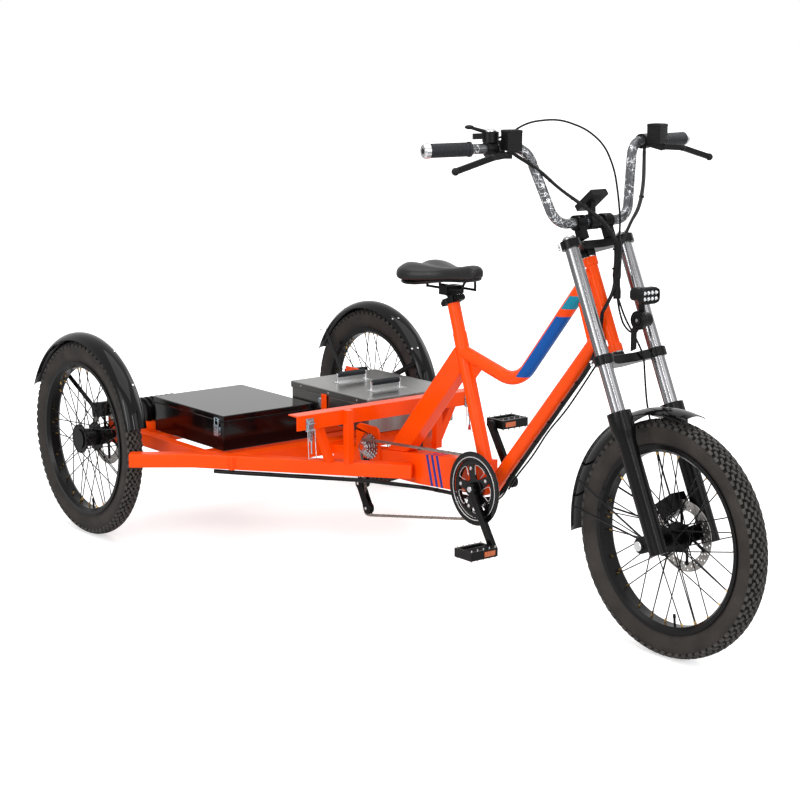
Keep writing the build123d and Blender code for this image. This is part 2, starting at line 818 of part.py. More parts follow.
# Lamp and horn, on a flat strap that stands on the front edge of the lower crown
lamp_face = Vector(front_x - lamp_back, 0, axle_z + lamp_up)
strap_foot = Vector(front_x - strap_back, strap_side, axle_z + strap_low_up)
strap_knee = Vector(front_x - strap_back, strap_side, axle_z + strap_knee_up)
horn_middle = Vector(front_x - horn_back, strap_side, axle_z + horn_up)
lamp_seat = Vector(horn_middle.X, strap_side, lamp_face.Z)
with BuildPart() as headlight:
    lamp_plane = Plane(origin=lamp_face, x_dir=(0, 1, 0), z_dir=(1, 0, 0))
    with BuildSketch(lamp_plane) as lamp_outline:
        RectangleRounded(lamp_width, lamp_height, lamp_height * lamp_corner_share)
    extrude(lamp_outline.sketch, amount=-lamp_bezel_depth)
    with BuildSketch(lamp_plane.offset(-lamp_bezel_depth)) as body_outline:
        RectangleRounded(lamp_body_width, lamp_body_height,
                         lamp_body_height * lamp_corner_share)
    extrude(body_outline.sketch, amount=-lamp_body_depth)
    for low, high in ((strap_foot, strap_knee), (strap_knee, horn_middle),
                      (horn_middle, lamp_seat)):
        square_bar(low, high, strap_width, strap_thickness, up=TO_LEFT)
    for knuckle in (strap_knee, horn_middle):
        rod(knuckle - TO_LEFT * strap_thickness / 2, knuckle + TO_LEFT * strap_thickness / 2,
            strap_width)
    rod(horn_middle - TO_LEFT * horn_depth, horn_middle + TO_LEFT * horn_depth,
        horn_neck_diameter, mode=Mode.SUBTRACT)
    add(lower_crown.part, mode=Mode.SUBTRACT)
    with Locations(steering_plane.offset(lower_crown_top).location):
        Box(lamp_back * 2, lamp_width, lamp_back,
            align=(Align.CENTER, Align.CENTER, Align.MAX), mode=Mode.SUBTRACT)
save(headlight, "headlight")

with BuildPart() as horn:
    disc_side = horn_middle - TO_LEFT * strap_thickness / 2
    rear_side = horn_middle + TO_LEFT * strap_thickness / 2
    rod(disc_side - TO_LEFT * horn_depth, disc_side, horn_diameter)
    rod(rear_side, rear_side + TO_LEFT * horn_rear_depth, horn_rear_diameter)
    rod(disc_side, rear_side, horn_neck_diameter)
save(horn, "horn")

# Front mudguard, its bridge to the fork collars and its wire stays
with BuildPart() as front_fender:
    arched_guard(front_axle, front_guard_radius, front_guard_width, front_guard_crown,
                 front_guard_start, front_guard_end)
    edge_radius = front_guard_radius - front_guard_crown - guard_thickness / 2
    edge_side = front_guard_width / 2 - guard_stay_diameter / 2
    stay_inner = leg_half - axle_lug_width / 2 - guard_stay_diameter / 2
    for side in sides:
        first_angle = front_guard_end - guard_stay_inset_angle
        for angle in (first_angle, first_angle - guard_stay_spread_angle):
            stay_top = around_axle(front_axle, edge_radius, angle, side * edge_side)
            stay_foot = around_axle(front_axle, axle_lug_radius, angle, side * stay_inner)
            rod(stay_foot, stay_top, guard_stay_diameter)
        bridge_angle = front_guard_start + guard_bridge_angle
        bridge_foot = around_axle(front_axle, front_guard_radius - front_guard_crown,
                                  bridge_angle, side * edge_side)
        bridge_end = fork_point(leg_lead, side * leg_half, lower_leg_top - collar_length)
        square_bar(bridge_foot, bridge_end, guard_bridge_width, guard_bridge_thickness,
                   up=axis_up)
    add(fork_lowers.part, mode=Mode.SUBTRACT)
    add(stanchions.part, mode=Mode.SUBTRACT)
save(front_fender, "front_fender")


def caliper(centre, radius, angle, rotor_side_place, low_side, high_side):
    """A brake caliper astride the rim of a rotor, between two side places."""
    middle = around_axle(centre, radius, angle, rotor_side_place)
    outward = around_axle(Vector(0, 0, 0), 1, angle, 0)
    plane = Plane(origin=middle, x_dir=TO_LEFT, z_dir=outward)
    with Locations(plane.location):
        body_middle = (low_side + high_side) / 2 - rotor_side_place
        with Locations((body_middle, 0, 0)):
            Box(high_side - low_side, caliper_length, caliper_height)
        slot = rotor_thickness + caliper_slot_gap * 2
        slot_top = rotor_diameter / 2 + caliper_slot_gap - radius
        with Locations((0, 0, slot_top - caliper_height)):
            Box(slot, caliper_length + cut_overrun, caliper_height * 2, mode=Mode.SUBTRACT)


with BuildPart() as front_caliper:
    caliper(front_axle, caliper_radius, front_caliper_angle, front_rotor_offset,
            front_caliper_inner, front_caliper_outer)
    add(fork_lowers.part, mode=Mode.SUBTRACT)
save(front_caliper, "front_caliper")

# Main frame tubes
bottom_bracket = frame_point(bottom_bracket_ahead, bottom_bracket_up)
seat_top = frame_point(seat_top_ahead, seat_top_up)
seat_line = (seat_top - bottom_bracket).normalized()
shell_end = TO_LEFT * (bottom_bracket_width / 2)

with BuildPart() as bottom_bracket_shell:
    rod(bottom_bracket - shell_end, bottom_bracket + shell_end, bottom_bracket_diameter)
    rod(bottom_bracket - shell_end * 2, bottom_bracket + shell_end * 2,
        spindle_diameter + running_fit * 2, mode=Mode.SUBTRACT)
save(bottom_bracket_shell, "bottom_bracket_shell")


def head_tube_body(mode=Mode.ADD):
    """The head tube and its two thicker ends, without the bore."""
    for low, high, diameter in [
        (-head_tube_length / 2, head_tube_length / 2, head_tube_diameter),
        (-head_tube_length / 2, -head_tube_length / 2 + head_ring_length, head_ring_diameter),
        (head_tube_length / 2 - head_ring_length, head_tube_length / 2, head_ring_diameter),
    ]:
        rod(fork_point(0, 0, low), fork_point(0, 0, high), diameter, mode=mode)


with BuildPart() as head_tube:
    head_tube_body()
    rod(fork_point(0, 0, -head_tube_length), fork_point(0, 0, head_tube_length),
        steerer_diameter + running_fit * 2, mode=Mode.SUBTRACT)
save(head_tube, "head_tube")

with BuildPart() as seat_tube:
    sleeve_foot = seat_top - seat_line * seat_sleeve_length
    rod(bottom_bracket, sleeve_foot, seat_tube_diameter)
    rod(sleeve_foot, seat_top, seat_sleeve_diameter)
    rod(seat_top - seat_line * seat_post_engage, seat_top + seat_line * cut_overrun,
        seat_post_diameter, mode=Mode.SUBTRACT)
    rod(bottom_bracket - shell_end, bottom_bracket + shell_end, bottom_bracket_diameter,
        mode=Mode.SUBTRACT)
save(seat_tube, "seat_tube")

seat_slope = (seat_top.X - bottom_bracket.X) / (seat_top.Z - bottom_bracket.Z)


def on_seat_tube(up):
    """A point on the axis of the seat tube at a height above the axles."""
    height = axle_z + up
    return Vector(bottom_bracket.X + (height - bottom_bracket.Z) * seat_slope, 0, height)


top_tube_seat = on_seat_tube(top_tube_seat_up)
top_tube_corner = frame_point(top_tube_bend_ahead, top_tube_bend_up)
top_tube_head = fork_point(0, 0, top_tube_head_place)
down_tube_foot = bottom_bracket + Vector(down_tube_foot_lead, 0, 0)
down_tube_head = fork_point(0, 0, down_tube_head_place)

with BuildPart() as top_tube:
    bent_tube([top_tube_seat, top_tube_corner, top_tube_head], top_tube_bend_radius,
              main_tube_diameter)
    rod(bottom_bracket, seat_top, seat_tube_diameter, mode=Mode.SUBTRACT)
    head_tube_body(mode=Mode.SUBTRACT)
save(top_tube, "top_tube")

with BuildPart() as down_tube:
    rod(down_tube_foot, down_tube_head, main_tube_diameter)
    add(seat_tube.part, mode=Mode.SUBTRACT)
    rod(bottom_bracket - shell_end, bottom_bracket + shell_end, bottom_bracket_diameter,
        mode=Mode.SUBTRACT)
    head_tube_body(mode=Mode.SUBTRACT)
save(down_tube, "down_tube")

# Flat gussets: behind the head tube, and under the top tube at the seat tube
with BuildPart() as frame_gussets:
    rise = top_tube_head - top_tube_corner
    fall = down_tube_head - down_tube_foot
    head_corners = [top_tube_corner + rise * head_gusset_top_share, top_tube_head,
                    down_tube_head, down_tube_foot + fall * head_gusset_low_share]
    under_tube = (top_tube_corner - top_tube_seat).normalized() * seat_gusset_reach
    seat_corners = [top_tube_seat, top_tube_seat + under_tube,
                    on_seat_tube(top_tube_seat_up - seat_gusset_drop)]
    for corners in (head_corners, seat_corners):
        with BuildSketch(Plane.XZ) as plate:
            Polygon(*[(corner.X, corner.Z) for corner in corners], align=None)
        extrude(plate.sketch, amount=gusset_thickness / 2, both=True)
    for cutter in (top_tube, down_tube):
        add(cutter.part, mode=Mode.SUBTRACT)
    rod(bottom_bracket, seat_top, seat_tube_diameter, mode=Mode.SUBTRACT)
    head_tube_body(mode=Mode.SUBTRACT)
save(frame_gussets, "frame_gussets")

# Central beam of the load frame, from the deck to the bottom bracket
beam_corners = [
    (beam_rear_ahead, beam_rear_top), (beam_mid_ahead, beam_mid_top),
    (bottom_bracket_ahead, beam_front_top), (bottom_bracket_ahead, beam_front_bottom),
    (beam_mid_ahead, beam_mid_bottom), (beam_rear_ahead, beam_rear_bottom),
]
with BuildPart() as central_beam:
    with BuildSketch(Plane(origin=(rear_x, 0, axle_z), x_dir=(1, 0, 0), z_dir=(0, -1, 0))):
        Polygon(*beam_corners, align=None)
    extrude(amount=beam_width / 2, both=True)
    rod(bottom_bracket - shell_end, bottom_bracket + shell_end, bottom_bracket_diameter,
        mode=Mode.SUBTRACT)
    add(seat_tube.part, mode=Mode.SUBTRACT)
    add(down_tube.part, mode=Mode.SUBTRACT)
save(central_beam, "central_beam")

with BuildPart() as stay_beam:
    square_bar(frame_point(stay_low_ahead, stay_low_up), frame_point(stay_top_ahead, stay_top_up),
               stay_width, stay_depth, up=Vector(-1, 0, 1))
    for cutter in (seat_tube, central_beam):
        add(cutter.part, mode=Mode.SUBTRACT)
    rod(bottom_bracket, seat_top, seat_tube_diameter, mode=Mode.SUBTRACT)
save(stay_beam, "stay_beam")

# Load deck
deck_middle = deck_top - deck_tube / 2
deck_low = deck_top - deck_tube
with BuildPart() as v_rails:
    for side in sides:
        front = frame_point(rail_front_ahead, deck_middle, side * rail_front_half)
        bend = frame_point(rail_bend_ahead, deck_middle,
                           side * (side_tube_outer_half + rail_bend_out))
        outer = frame_point(rail_end_ahead, deck_middle, side * rail_end_half)
        with BuildLine() as rail_path:
            Polyline(front, bend, outer)
        with BuildSketch(Plane(origin=front, x_dir=(0, 0, 1), z_dir=bend - front)) as rail_face:
            Rectangle(deck_tube, deck_tube)
        sweep(sections=rail_face.sketch, path=rail_path.line, transition=Transition.RIGHT)
    block(frame_point(beam_rear_ahead, beam_rear_bottom - deck_tube, -beam_width / 2),
          frame_point(bottom_bracket_ahead, beam_front_top, beam_width / 2), mode=Mode.SUBTRACT)
save(v_rails, "v_rails")

with BuildPart() as rear_axle_beam:
    beam_end = TO_LEFT * axle_beam_half
    rear_axle = frame_point(0, 0)
    rod(rear_axle - beam_end, rear_axle + beam_end, axle_beam_diameter)
    rod(rear_axle - beam_end * 2, rear_axle + beam_end * 2, rear_shaft_diameter + running_fit * 2,
        mode=Mode.SUBTRACT)
save(rear_axle_beam, "rear_axle_beam")

with BuildPart() as deck_side_tubes:
    for side in sides:
        low_y, high_y = sorted((side * side_tube_inner_half, side * side_tube_outer_half))
        block(frame_point(side_tube_rear_ahead, deck_low, low_y),
              frame_point(side_tube_front_ahead, deck_top, high_y))
    add(v_rails.part, mode=Mode.SUBTRACT)
    rod(rear_axle - beam_end, rear_axle + beam_end, axle_beam_diameter, mode=Mode.SUBTRACT)
save(deck_side_tubes, "deck_side_tubes")

with BuildPart() as deck_cross_tubes:
    block(frame_point(front_cross_ahead - front_cross_width / 2, deck_low,
                      -side_tube_inner_half),
          frame_point(front_cross_ahead + front_cross_width / 2, deck_top,
                      side_tube_inner_half))
    for ahead in (rear_bar_ahead, mid_bar_ahead):
        block(frame_point(ahead - bar_width / 2, deck_low, -side_tube_inner_half),
              frame_point(ahead + bar_width / 2, deck_low + bar_height,
                          side_tube_inner_half))
    for ahead in (mid_bar_ahead, front_cross_ahead):
        block(frame_point(ahead - box_bar_width / 2, deck_low + bar_height,
                          controller_right_half + box_bar_inset),
              frame_point(ahead + box_bar_width / 2, controller_base,
                          controller_left_half - box_bar_inset))
    for cutter in (v_rails, central_beam):
        add(cutter.part, mode=Mode.SUBTRACT)
save(deck_cross_tubes, "deck_cross_tubes")

with BuildPart() as upper_cross_rail:
    rail_low = cross_rail_top - cross_rail_height
    block(frame_point(cross_rail_front - cross_rail_depth, cross_rail_top - cross_rail_thickness,
                      -cross_rail_half),
          frame_point(cross_rail_front, cross_rail_top, cross_rail_half))
    block(frame_point(cross_rail_front - cross_rail_thickness, rail_low, -cross_rail_half),
          frame_point(cross_rail_front, cross_rail_top, cross_rail_half))
    add(stay_beam.part, mode=Mode.SUBTRACT)
save(upper_cross_rail, "upper_cross_rail")

with BuildPart() as rail_posts:
    for side in sides:
        post_low, post_high = sorted((side * post_half - post_size / 2,
                                      side * post_half + post_size / 2))
        block(frame_point(cross_rail_front, deck_top, post_low),
              frame_point(cross_rail_front + post_size, cross_rail_top, post_high))
        square_bar(frame_point(brace_foot_ahead, deck_middle, side * brace_foot_half),
                   frame_point(brace_head_ahead, cross_rail_top, side * brace_head_half),
                   brace_size, brace_size, up=Vector(1, 0, 0))
    for cutter in (v_rails, upper_cross_rail):
        add(cutter.part, mode=Mode.SUBTRACT)
    block(frame_point(rear_bar_ahead, cross_rail_top - cross_rail_thickness, -cross_rail_half),
          frame_point(cross_rail_front, cross_rail_top * 2, cross_rail_half), mode=Mode.SUBTRACT)
    block(frame_point(rear_bar_ahead, deck_low, -cross_rail_half),
          frame_point(bottom_bracket_ahead, deck_top, cross_rail_half), mode=Mode.SUBTRACT)
save(rail_posts, "rail_posts")

# Plates that carry the rear brakes, at the ends of the axle beam
with BuildPart() as axle_plates:
    for side in sides:
        inner = side * (axle_beam_half - axle_plate_thickness)
        low_y, high_y = sorted((inner, side * axle_beam_half))
        block(frame_point(-axle_plate_width / 2, -axle_plate_down, low_y),
              frame_point(axle_plate_width / 2, axle_plate_up, high_y))
    rod(rear_axle - beam_end * 2, rear_axle + beam_end * 2, axle_beam_diameter,
        mode=Mode.SUBTRACT)
save(axle_plates, "axle_plates")

with BuildPart() as rear_calipers:
    for side in sides:
        low_y, high_y = sorted((side * axle_beam_half,
                                side * (rotor_line * 2 - axle_beam_half)))
        caliper(frame_point(0, 0), caliper_radius, rear_caliper_angle, side * rotor_line,
                low_y, high_y)
save(rear_calipers, "rear_calipers")

with BuildPart() as drive_motor:
    motor_centre = frame_point(motor_ahead, motor_up)
    rib_pitch = motor_length / motor_rib_count
    rod(motor_centre - TO_LEFT * motor_inner_half,
        motor_centre - TO_LEFT * (motor_inner_half + motor_length),
        motor_diameter - motor_rib_depth * 2)
    for index in range(motor_rib_count):
        rib_start = motor_inner_half + (index + 0.5) * rib_pitch - motor_rib_width / 2
        rod(motor_centre - TO_LEFT * rib_start,
            motor_centre - TO_LEFT * (rib_start + motor_rib_width), motor_diameter)
    foot_middle = motor_inner_half + motor_length / 2
    block(frame_point(motor_ahead - motor_foot_width / 2, 0,
                      -foot_middle - motor_foot_length / 2),
          frame_point(motor_ahead + motor_foot_width / 2, motor_up,
                      -foot_middle + motor_foot_length / 2))
    rod(rear_axle - beam_end, rear_axle + beam_end, axle_beam_diameter, mode=Mode.SUBTRACT)
save(drive_motor, "drive_motor")

# Boxes
battery_right_half = side_tube_inner_half - battery_side_gap
with BuildPart() as battery_box:
    block(frame_point(battery_rear, deck_low + bar_height, -battery_right_half),
          frame_point(battery_front, battery_top - battery_lid_height, -battery_left_half))
    fillet(battery_box.edges().filter_by(Axis.Z), radius=box_edge_radius)
save(battery_box, "battery_box")

with BuildPart() as battery_lid:
    block(frame_point(battery_rear - lid_lip, battery_top - battery_lid_height,
                      -battery_right_half - lid_lip),
          frame_point(battery_front + lid_lip, battery_top, -battery_left_half + lid_lip))
    fillet(battery_lid.edges().filter_by(Axis.Z), radius=box_edge_radius)
save(battery_lid, "battery_lid")

with BuildPart() as controller_box:
    block(frame_point(controller_rear, controller_base, controller_right_half),
          frame_point(controller_front, controller_top - controller_lid_height,
                      controller_left_half))
    fillet(controller_box.edges().filter_by(Axis.Z), radius=box_edge_radius)
save(controller_box, "controller_box")

with BuildPart() as controller_lid:
    block(frame_point(controller_rear - lid_lip, controller_top - controller_lid_height,
                      controller_right_half - lid_lip),
          frame_point(controller_front + lid_lip, controller_top, controller_left_half + lid_lip))
    fillet(controller_lid.edges().filter_by(Axis.Z), radius=box_edge_radius)
save(controller_lid, "controller_lid")

with BuildPart() as lid_handles:
    lid_length = controller_front - controller_rear
    lid_width = controller_left_half - controller_right_half
    handle_middle = controller_right_half + lid_width * handle_side_share
    for share in (handle_first_share, handle_second_share):
        ahead = controller_rear + lid_length * share
        near = handle_middle - handle_length / 2
        far = handle_middle + handle_length / 2
        bar_height_up = controller_top + handle_rise
        rod(frame_point(ahead, bar_height_up, near), frame_point(ahead, bar_height_up, far),
            handle_rod)
        rod(frame_point(ahead, bar_height_up, near + handle_rise),
            frame_point(ahead, bar_height_up, far - handle_rise), handle_grip_diameter)
        for end in (near, far):
            rod(frame_point(ahead, controller_top, end),
                frame_point(ahead, bar_height_up + handle_rod / 2, end), handle_rod)
save(lid_handles, "lid_handles")

# Toggle latches on the front of the cross rail, each with its wire bail hanging down
with BuildPart() as toggle_latches:
    latch_top = cross_rail_top - latch_drop / 2
    for side in sides:
        middle = side * latch_side
        low = frame_point(cross_rail_front, latch_top - latch_height, middle - latch_width / 2)
        high = frame_point(cross_rail_front + latch_depth, latch_top, middle + latch_width / 2)
        block(low, high)
        hook = frame_point(cross_rail_front + latch_depth / 2, latch_top - latch_height, middle)
        foot = hook - Vector(0, 0, bail_length)
        for edge in sides:
            rod(hook + TO_LEFT * (edge * bail_width / 2), foot + TO_LEFT * (edge * bail_wire / 2),
                bail_wire)
        rod(foot + Vector(0, 0, bail_foot_length / 2), foot - Vector(0, 0, bail_foot_length / 2),
            bail_foot_diameter)
save(toggle_latches, "toggle_latches")

# Rear mudguards with their stays to the brake plates
for name, side in (("rear_fender_right", -1), ("rear_fender_left", 1)):
    guard_centre = frame_point(0, 0, side * wheel_half)
    with BuildPart() as rear_fender:
        arched_guard(guard_centre, rear_guard_radius, rear_guard_width, rear_guard_crown,
                     rear_guard_start, rear_guard_end)
        guard_edge = rear_guard_radius - rear_guard_crown - guard_thickness / 2
        edge_inset = rear_guard_width / 2 - guard_stay_diameter / 2
        for angle in (rear_guard_start + rear_stay_inset_angle,
                      rear_guard_end - rear_stay_inset_angle):
            top = around_axle(guard_centre, guard_edge, angle, -side * edge_inset)
            foot_side = side * (axle_beam_half + guard_stay_diameter / 2)
            foot_radius = axle_plate_width / 2 - guard_stay_diameter
            foot = around_axle(frame_point(0, 0), foot_radius, angle, foot_side)
            rod(foot, top, guard_stay_diameter)
    save(rear_fender, name)

# Crank set, on the right of the frame
ring_centre = bottom_bracket + TO_RIGHT * chain_line
crank_turn = math.radians(crank_angle)
crank_run = Vector(math.cos(crank_turn), 0, math.sin(crank_turn)) * crank_length

with BuildPart() as chainring:
    rod(ring_centre - TO_RIGHT * ring_thickness / 2, ring_centre + TO_RIGHT * ring_thickness / 2,
        ring_pitch_radius * 2 - chain_height)
    guard_foot = ring_centre + TO_RIGHT * (chain_width + ring_thickness)
    rod(ring_centre, guard_foot + TO_RIGHT * ring_guard_thickness, ring_spider_diameter)
    rod(guard_foot, guard_foot + TO_RIGHT * ring_guard_thickness, ring_guard_diameter)
    rod(ring_centre - TO_RIGHT * chain_line, ring_centre + TO_RIGHT * chain_line,
        spindle_diameter, mode=Mode.SUBTRACT)
save(chainring, "chainring")

crank_offsets = {-1: right_crank_offset, 1: left_crank_offset}
with BuildPart() as cranks:
    rod(bottom_bracket + TO_RIGHT * (right_crank_offset + crank_thickness / 2),
        bottom_bracket + TO_LEFT * (left_crank_offset + crank_thickness / 2), spindle_diameter)
    for side, offset in crank_offsets.items():
        hub_inner = bottom_bracket + TO_LEFT * (side * (offset - crank_thickness / 2))
        hub_outer = bottom_bracket + TO_LEFT * (side * (offset + crank_thickness / 2))
        reach = crank_run * -side
        rod(hub_inner, hub_outer, crank_boss_diameter)
        rod(hub_inner + reach, hub_outer + reach, crank_end_width)
        middle = (hub_inner + hub_outer) * 0.5
        square_bar(middle, middle + reach, crank_thickness, crank_end_width,
                   up=TO_LEFT.cross(reach))
        rod(hub_inner + reach, hub_outer + reach, pedal_spindle_diameter, mode=Mode.SUBTRACT)
save(cranks, "cranks")

for name, side in (("pedal_right", -1), ("pedal_left", 1)):
    arm_inner = crank_offsets[side] - crank_thickness / 2
    arm_outer = crank_offsets[side] + crank_thickness / 2
    pedal_inner = arm_outer + pedal_spindle_gap
    pedal_outer = pedal_inner + pedal_width
    pedal_middle = bottom_bracket + crank_run * -side
    with BuildPart() as pedal:
        rod(pedal_middle + TO_LEFT * (side * arm_inner),
            pedal_middle + TO_LEFT * (side * pedal_outer),
            pedal_spindle_diameter - running_fit * 2)
        rod(pedal_middle + TO_LEFT * (side * pedal_inner),
            pedal_middle + TO_LEFT * (side * pedal_outer), pedal_thickness)
        low_y, high_y = sorted((side * pedal_inner, side * pedal_outer))
        for end in sides:
            low_x, high_x = sorted((end * (pedal_length / 2 - pedal_cage),
                                    end * pedal_length / 2))
            block(pedal_middle + Vector(low_x, low_y, -pedal_thickness / 2),
                  pedal_middle + Vector(high_x, high_y, pedal_thickness / 2))
        for edge in (low_y, high_y - pedal_cage):
            block(pedal_middle + Vector(-pedal_length / 2, edge, -pedal_thickness / 2),
                  pedal_middle + Vector(pedal_length / 2, edge + pedal_cage,
                                        pedal_thickness / 2))
    save(pedal, name)

# Sprockets, derailleur and chain
cassette_centre = frame_point(cassette_ahead, cassette_up, -chain_line)
with BuildPart() as jackshaft:
    plate_side = beam_width / 2
    block(frame_point(jack_plate_rear, jack_plate_low, -plate_side - jack_plate_thickness),
          frame_point(jack_plate_front, jack_plate_top, -plate_side))
    plate_edges = jackshaft.edges().filter_by(Axis.Y).sort_by(Axis.Z)[-2:]
    fillet(plate_edges, radius=jack_plate_top / 4)
    rod(frame_point(cassette_ahead, cassette_up, -plate_side),
        frame_point(cassette_ahead, cassette_up, -chain_line - cassette_width / 2),
        jack_shaft_diameter)
save(jackshaft, "jackshaft")

with BuildPart() as cassette:
    ring_pitch = cassette_width / cassette_rings
    for index in range(cassette_rings):
        share = index / (cassette_rings - 1)
        radius = cassette_large_radius + (cassette_small_radius - cassette_large_radius) * share
        start = cassette_centre + TO_RIGHT * (index * ring_pitch - cassette_width / 2)
        rod(start, start + TO_RIGHT * ring_pitch / 2, radius * 2)
        rod(start, start + TO_RIGHT * ring_pitch, cassette_spacer_radius * 2)
    rod(cassette_centre - TO_RIGHT * cassette_width, cassette_centre + TO_RIGHT * cassette_width,
        jack_shaft_diameter, mode=Mode.SUBTRACT)
save(cassette, "cassette")

upper_jockey = frame_point(upper_jockey_ahead, upper_jockey_up, -chain_line)
lower_jockey = frame_point(lower_jockey_ahead, lower_jockey_up, -chain_line)
with BuildPart() as derailleur:
    for centre in (upper_jockey, lower_jockey):
        rod(centre - TO_RIGHT * jockey_width, centre + TO_RIGHT * jockey_width,
            jockey_pitch_radius * 2 - chain_height)
    for place in (-jockey_width - derailleur_plate_thickness / 2,
                  jockey_width + derailleur_plate_thickness / 2):
        for centre in (upper_jockey, lower_jockey):
            rod(centre + TO_RIGHT * (place - derailleur_plate_thickness / 2),
                centre + TO_RIGHT * (place + derailleur_plate_thickness / 2),
                jockey_plate_diameter)
        square_bar(upper_jockey + TO_RIGHT * place, lower_jockey + TO_RIGHT * place,
                   derailleur_plate_thickness, cage_width,
                   up=TO_LEFT.cross(lower_jockey - upper_jockey))
    hanger_side = beam_width / 2 + derailleur_hanger_thickness / 2
    hanger_top = frame_point(upper_jockey_ahead, jack_plate_low, -hanger_side)
    body_place = frame_point(upper_jockey_ahead, upper_jockey_up, -hanger_side)
    square_bar(body_place, hanger_top, derailleur_hanger_width, derailleur_hanger_thickness,
               up=TO_LEFT)
    rod(upper_jockey, body_place - TO_RIGHT * derailleur_hanger_thickness / 2, derailleur_body)
save(derailleur, "derailleur")


def straight_run(first, first_radius, second, second_radius):
    """Touching points of a chain run between two wheels, signed by its turning."""
    gap = second - first
    ahead = gap.normalized()
    right = Vector(ahead.Y, -ahead.X)
    lean_share = (first_radius - second_radius) / gap.length
    normal = ahead * lean_share + right * math.sqrt(1 - lean_share ** 2)
    return first + normal * first_radius, second + normal * second_radius


# Chain wheels in the order that the chain passes them: centre, signed radius
def in_chain_plane(point):
    """A point of the frame in the chain's own plane."""
    return Vector(point.X, point.Z)


chain_wheels = [
    (in_chain_plane(ring_centre), ring_pitch_radius),
    (in_chain_plane(cassette_centre), cassette_pitch_radius),
    (in_chain_plane(upper_jockey), -jockey_pitch_radius),
    (in_chain_plane(lower_jockey), jockey_pitch_radius),
]
with BuildPart() as chain:
    with BuildSketch(Plane.XZ.offset(chain_line)):
        with BuildLine() as chain_path:
            for index, (centre, radius) in enumerate(chain_wheels):
                before = chain_wheels[index - 1]
                after = chain_wheels[(index + 1) % len(chain_wheels)]
                arrive = straight_run(before[0], before[1], centre, radius)[1]
                leave, onward = straight_run(centre, radius, after[0], after[1])
                start_angle = math.degrees(math.atan2((arrive - centre).Y, (arrive - centre).X))
                end_angle = math.degrees(math.atan2((leave - centre).Y, (leave - centre).X))
                turning = 1 if radius > 0 else -1
                arc = (end_angle - start_angle) * turning % 360
                CenterArc(centre, abs(radius), start_angle, arc * turning)
                Line(leave, onward)
        trace(chain_path.line, line_width=chain_height)
    extrude(amount=chain_width / 2, both=True)
    for cutter in (cassette, derailleur, chainring):
        add(cutter.part, mode=Mode.SUBTRACT)
save(chain, "chain")

# Cables
fork_cables = [
    (shift_cable_route, shift_cable_diameter), (right_bundle_route, bar_bundle_diameter),
    (left_bundle_route, bar_bundle_diameter), (trunk_route, trunk_diameter),
    (branch_route, branch_diameter), (lamp_wire_route, brake_hose_diameter),
    (brake_hose_route, brake_hose_diameter),
]
with BuildPart() as bar_cables:
    for route, diameter in fork_cables:
        cable([fork_point(*place) for place in route], diameter)
    for held in (handlebar, brake_levers, thumb_shifter, upper_crown, lower_crown,
                 front_caliper):
        add(held.part, mode=Mode.SUBTRACT)
save(bar_cables, "bar_cables")

with BuildPart() as frame_cables:
    for route, diameter in ((frame_bundle_route, frame_bundle_diameter),
                            (frame_wire_route, frame_wire_diameter)):
        cable([frame_point(ahead, up, side) for ahead, side, up in route], diameter)
save(frame_cables, "frame_cables")

# Saddle and its post
saddle_rear = saddle_nose_ahead - saddle_length
saddle_half = saddle_width / 2
nose_half = saddle_nose_width / 2
saddle_plane = Plane(origin=(rear_x, 0, axle_z + saddle_top_up - saddle_depth))
with BuildPart() as saddle:
    with BuildSketch(saddle_plane):
        with BuildLine():
            widest = saddle_rear + saddle_length * saddle_widest_share
            waist = saddle_rear + saddle_length * saddle_waist_share
            tail = saddle_rear + saddle_length * saddle_tail_share
            waist_half = nose_half * saddle_waist_width_share
            nose = saddle_nose_ahead - nose_half
            edge = Line((widest, saddle_half), (tail, saddle_half))
            ThreePointArc(edge @ 1, (saddle_rear, 0),
                          (tail, -saddle_half))
            Line((tail, -saddle_half), (widest, -saddle_half))
            Line((widest, -saddle_half), (waist, -waist_half))
            Line((waist, -waist_half), (nose, -nose_half))
            ThreePointArc((nose, -nose_half), (saddle_nose_ahead, 0), (nose, nose_half))
            Line((nose, nose_half), (waist, waist_half))
            Line((waist, waist_half), (widest, saddle_half))
        make_face()
    extrude(amount=saddle_depth)
    fillet(saddle.faces().sort_by(Axis.Z)[-1].edges(), radius=saddle_edge_radius)
save(saddle, "saddle")

with BuildPart() as seat_post:
    rail_up = saddle_top_up - saddle_depth - seat_rail_drop
    post_top = on_seat_tube(rail_up - seat_rail_diameter)
    rod(seat_top - seat_line * seat_post_engage, post_top, seat_post_diameter)
    rod(seat_top + seat_line * soft_gap, seat_top + seat_line * collar_band_height,
        collar_band_diameter)
    rail_middle = post_top.X - rear_x
    half_rail = seat_rail_length / 2
    for side in sides:
        rail_side = side * seat_rail_spacing / 2
        low_rear = frame_point(rail_middle - half_rail, rail_up, rail_side)
        low_front = frame_point(rail_middle + half_rail, rail_up, rail_side)
        rod(low_rear, low_front, seat_rail_diameter)
        for end in (low_rear, low_front):
            rod(end - Vector(0, 0, seat_rail_diameter / 2), end + Vector(0, 0, seat_rail_drop),
                seat_rail_diameter)
    block(frame_point(rail_middle - seat_clamp_size / 2, rail_up - seat_clamp_size / 2,
                      -seat_rail_spacing / 2 - seat_rail_diameter),
          frame_point(rail_middle + seat_clamp_size / 2, rail_up + seat_rail_diameter,
                      seat_rail_spacing / 2 + seat_rail_diameter))
save(seat_post, "seat_post")
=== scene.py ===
import json
import math
import random

import bmesh
import bpy
from mathutils import Matrix, Vector


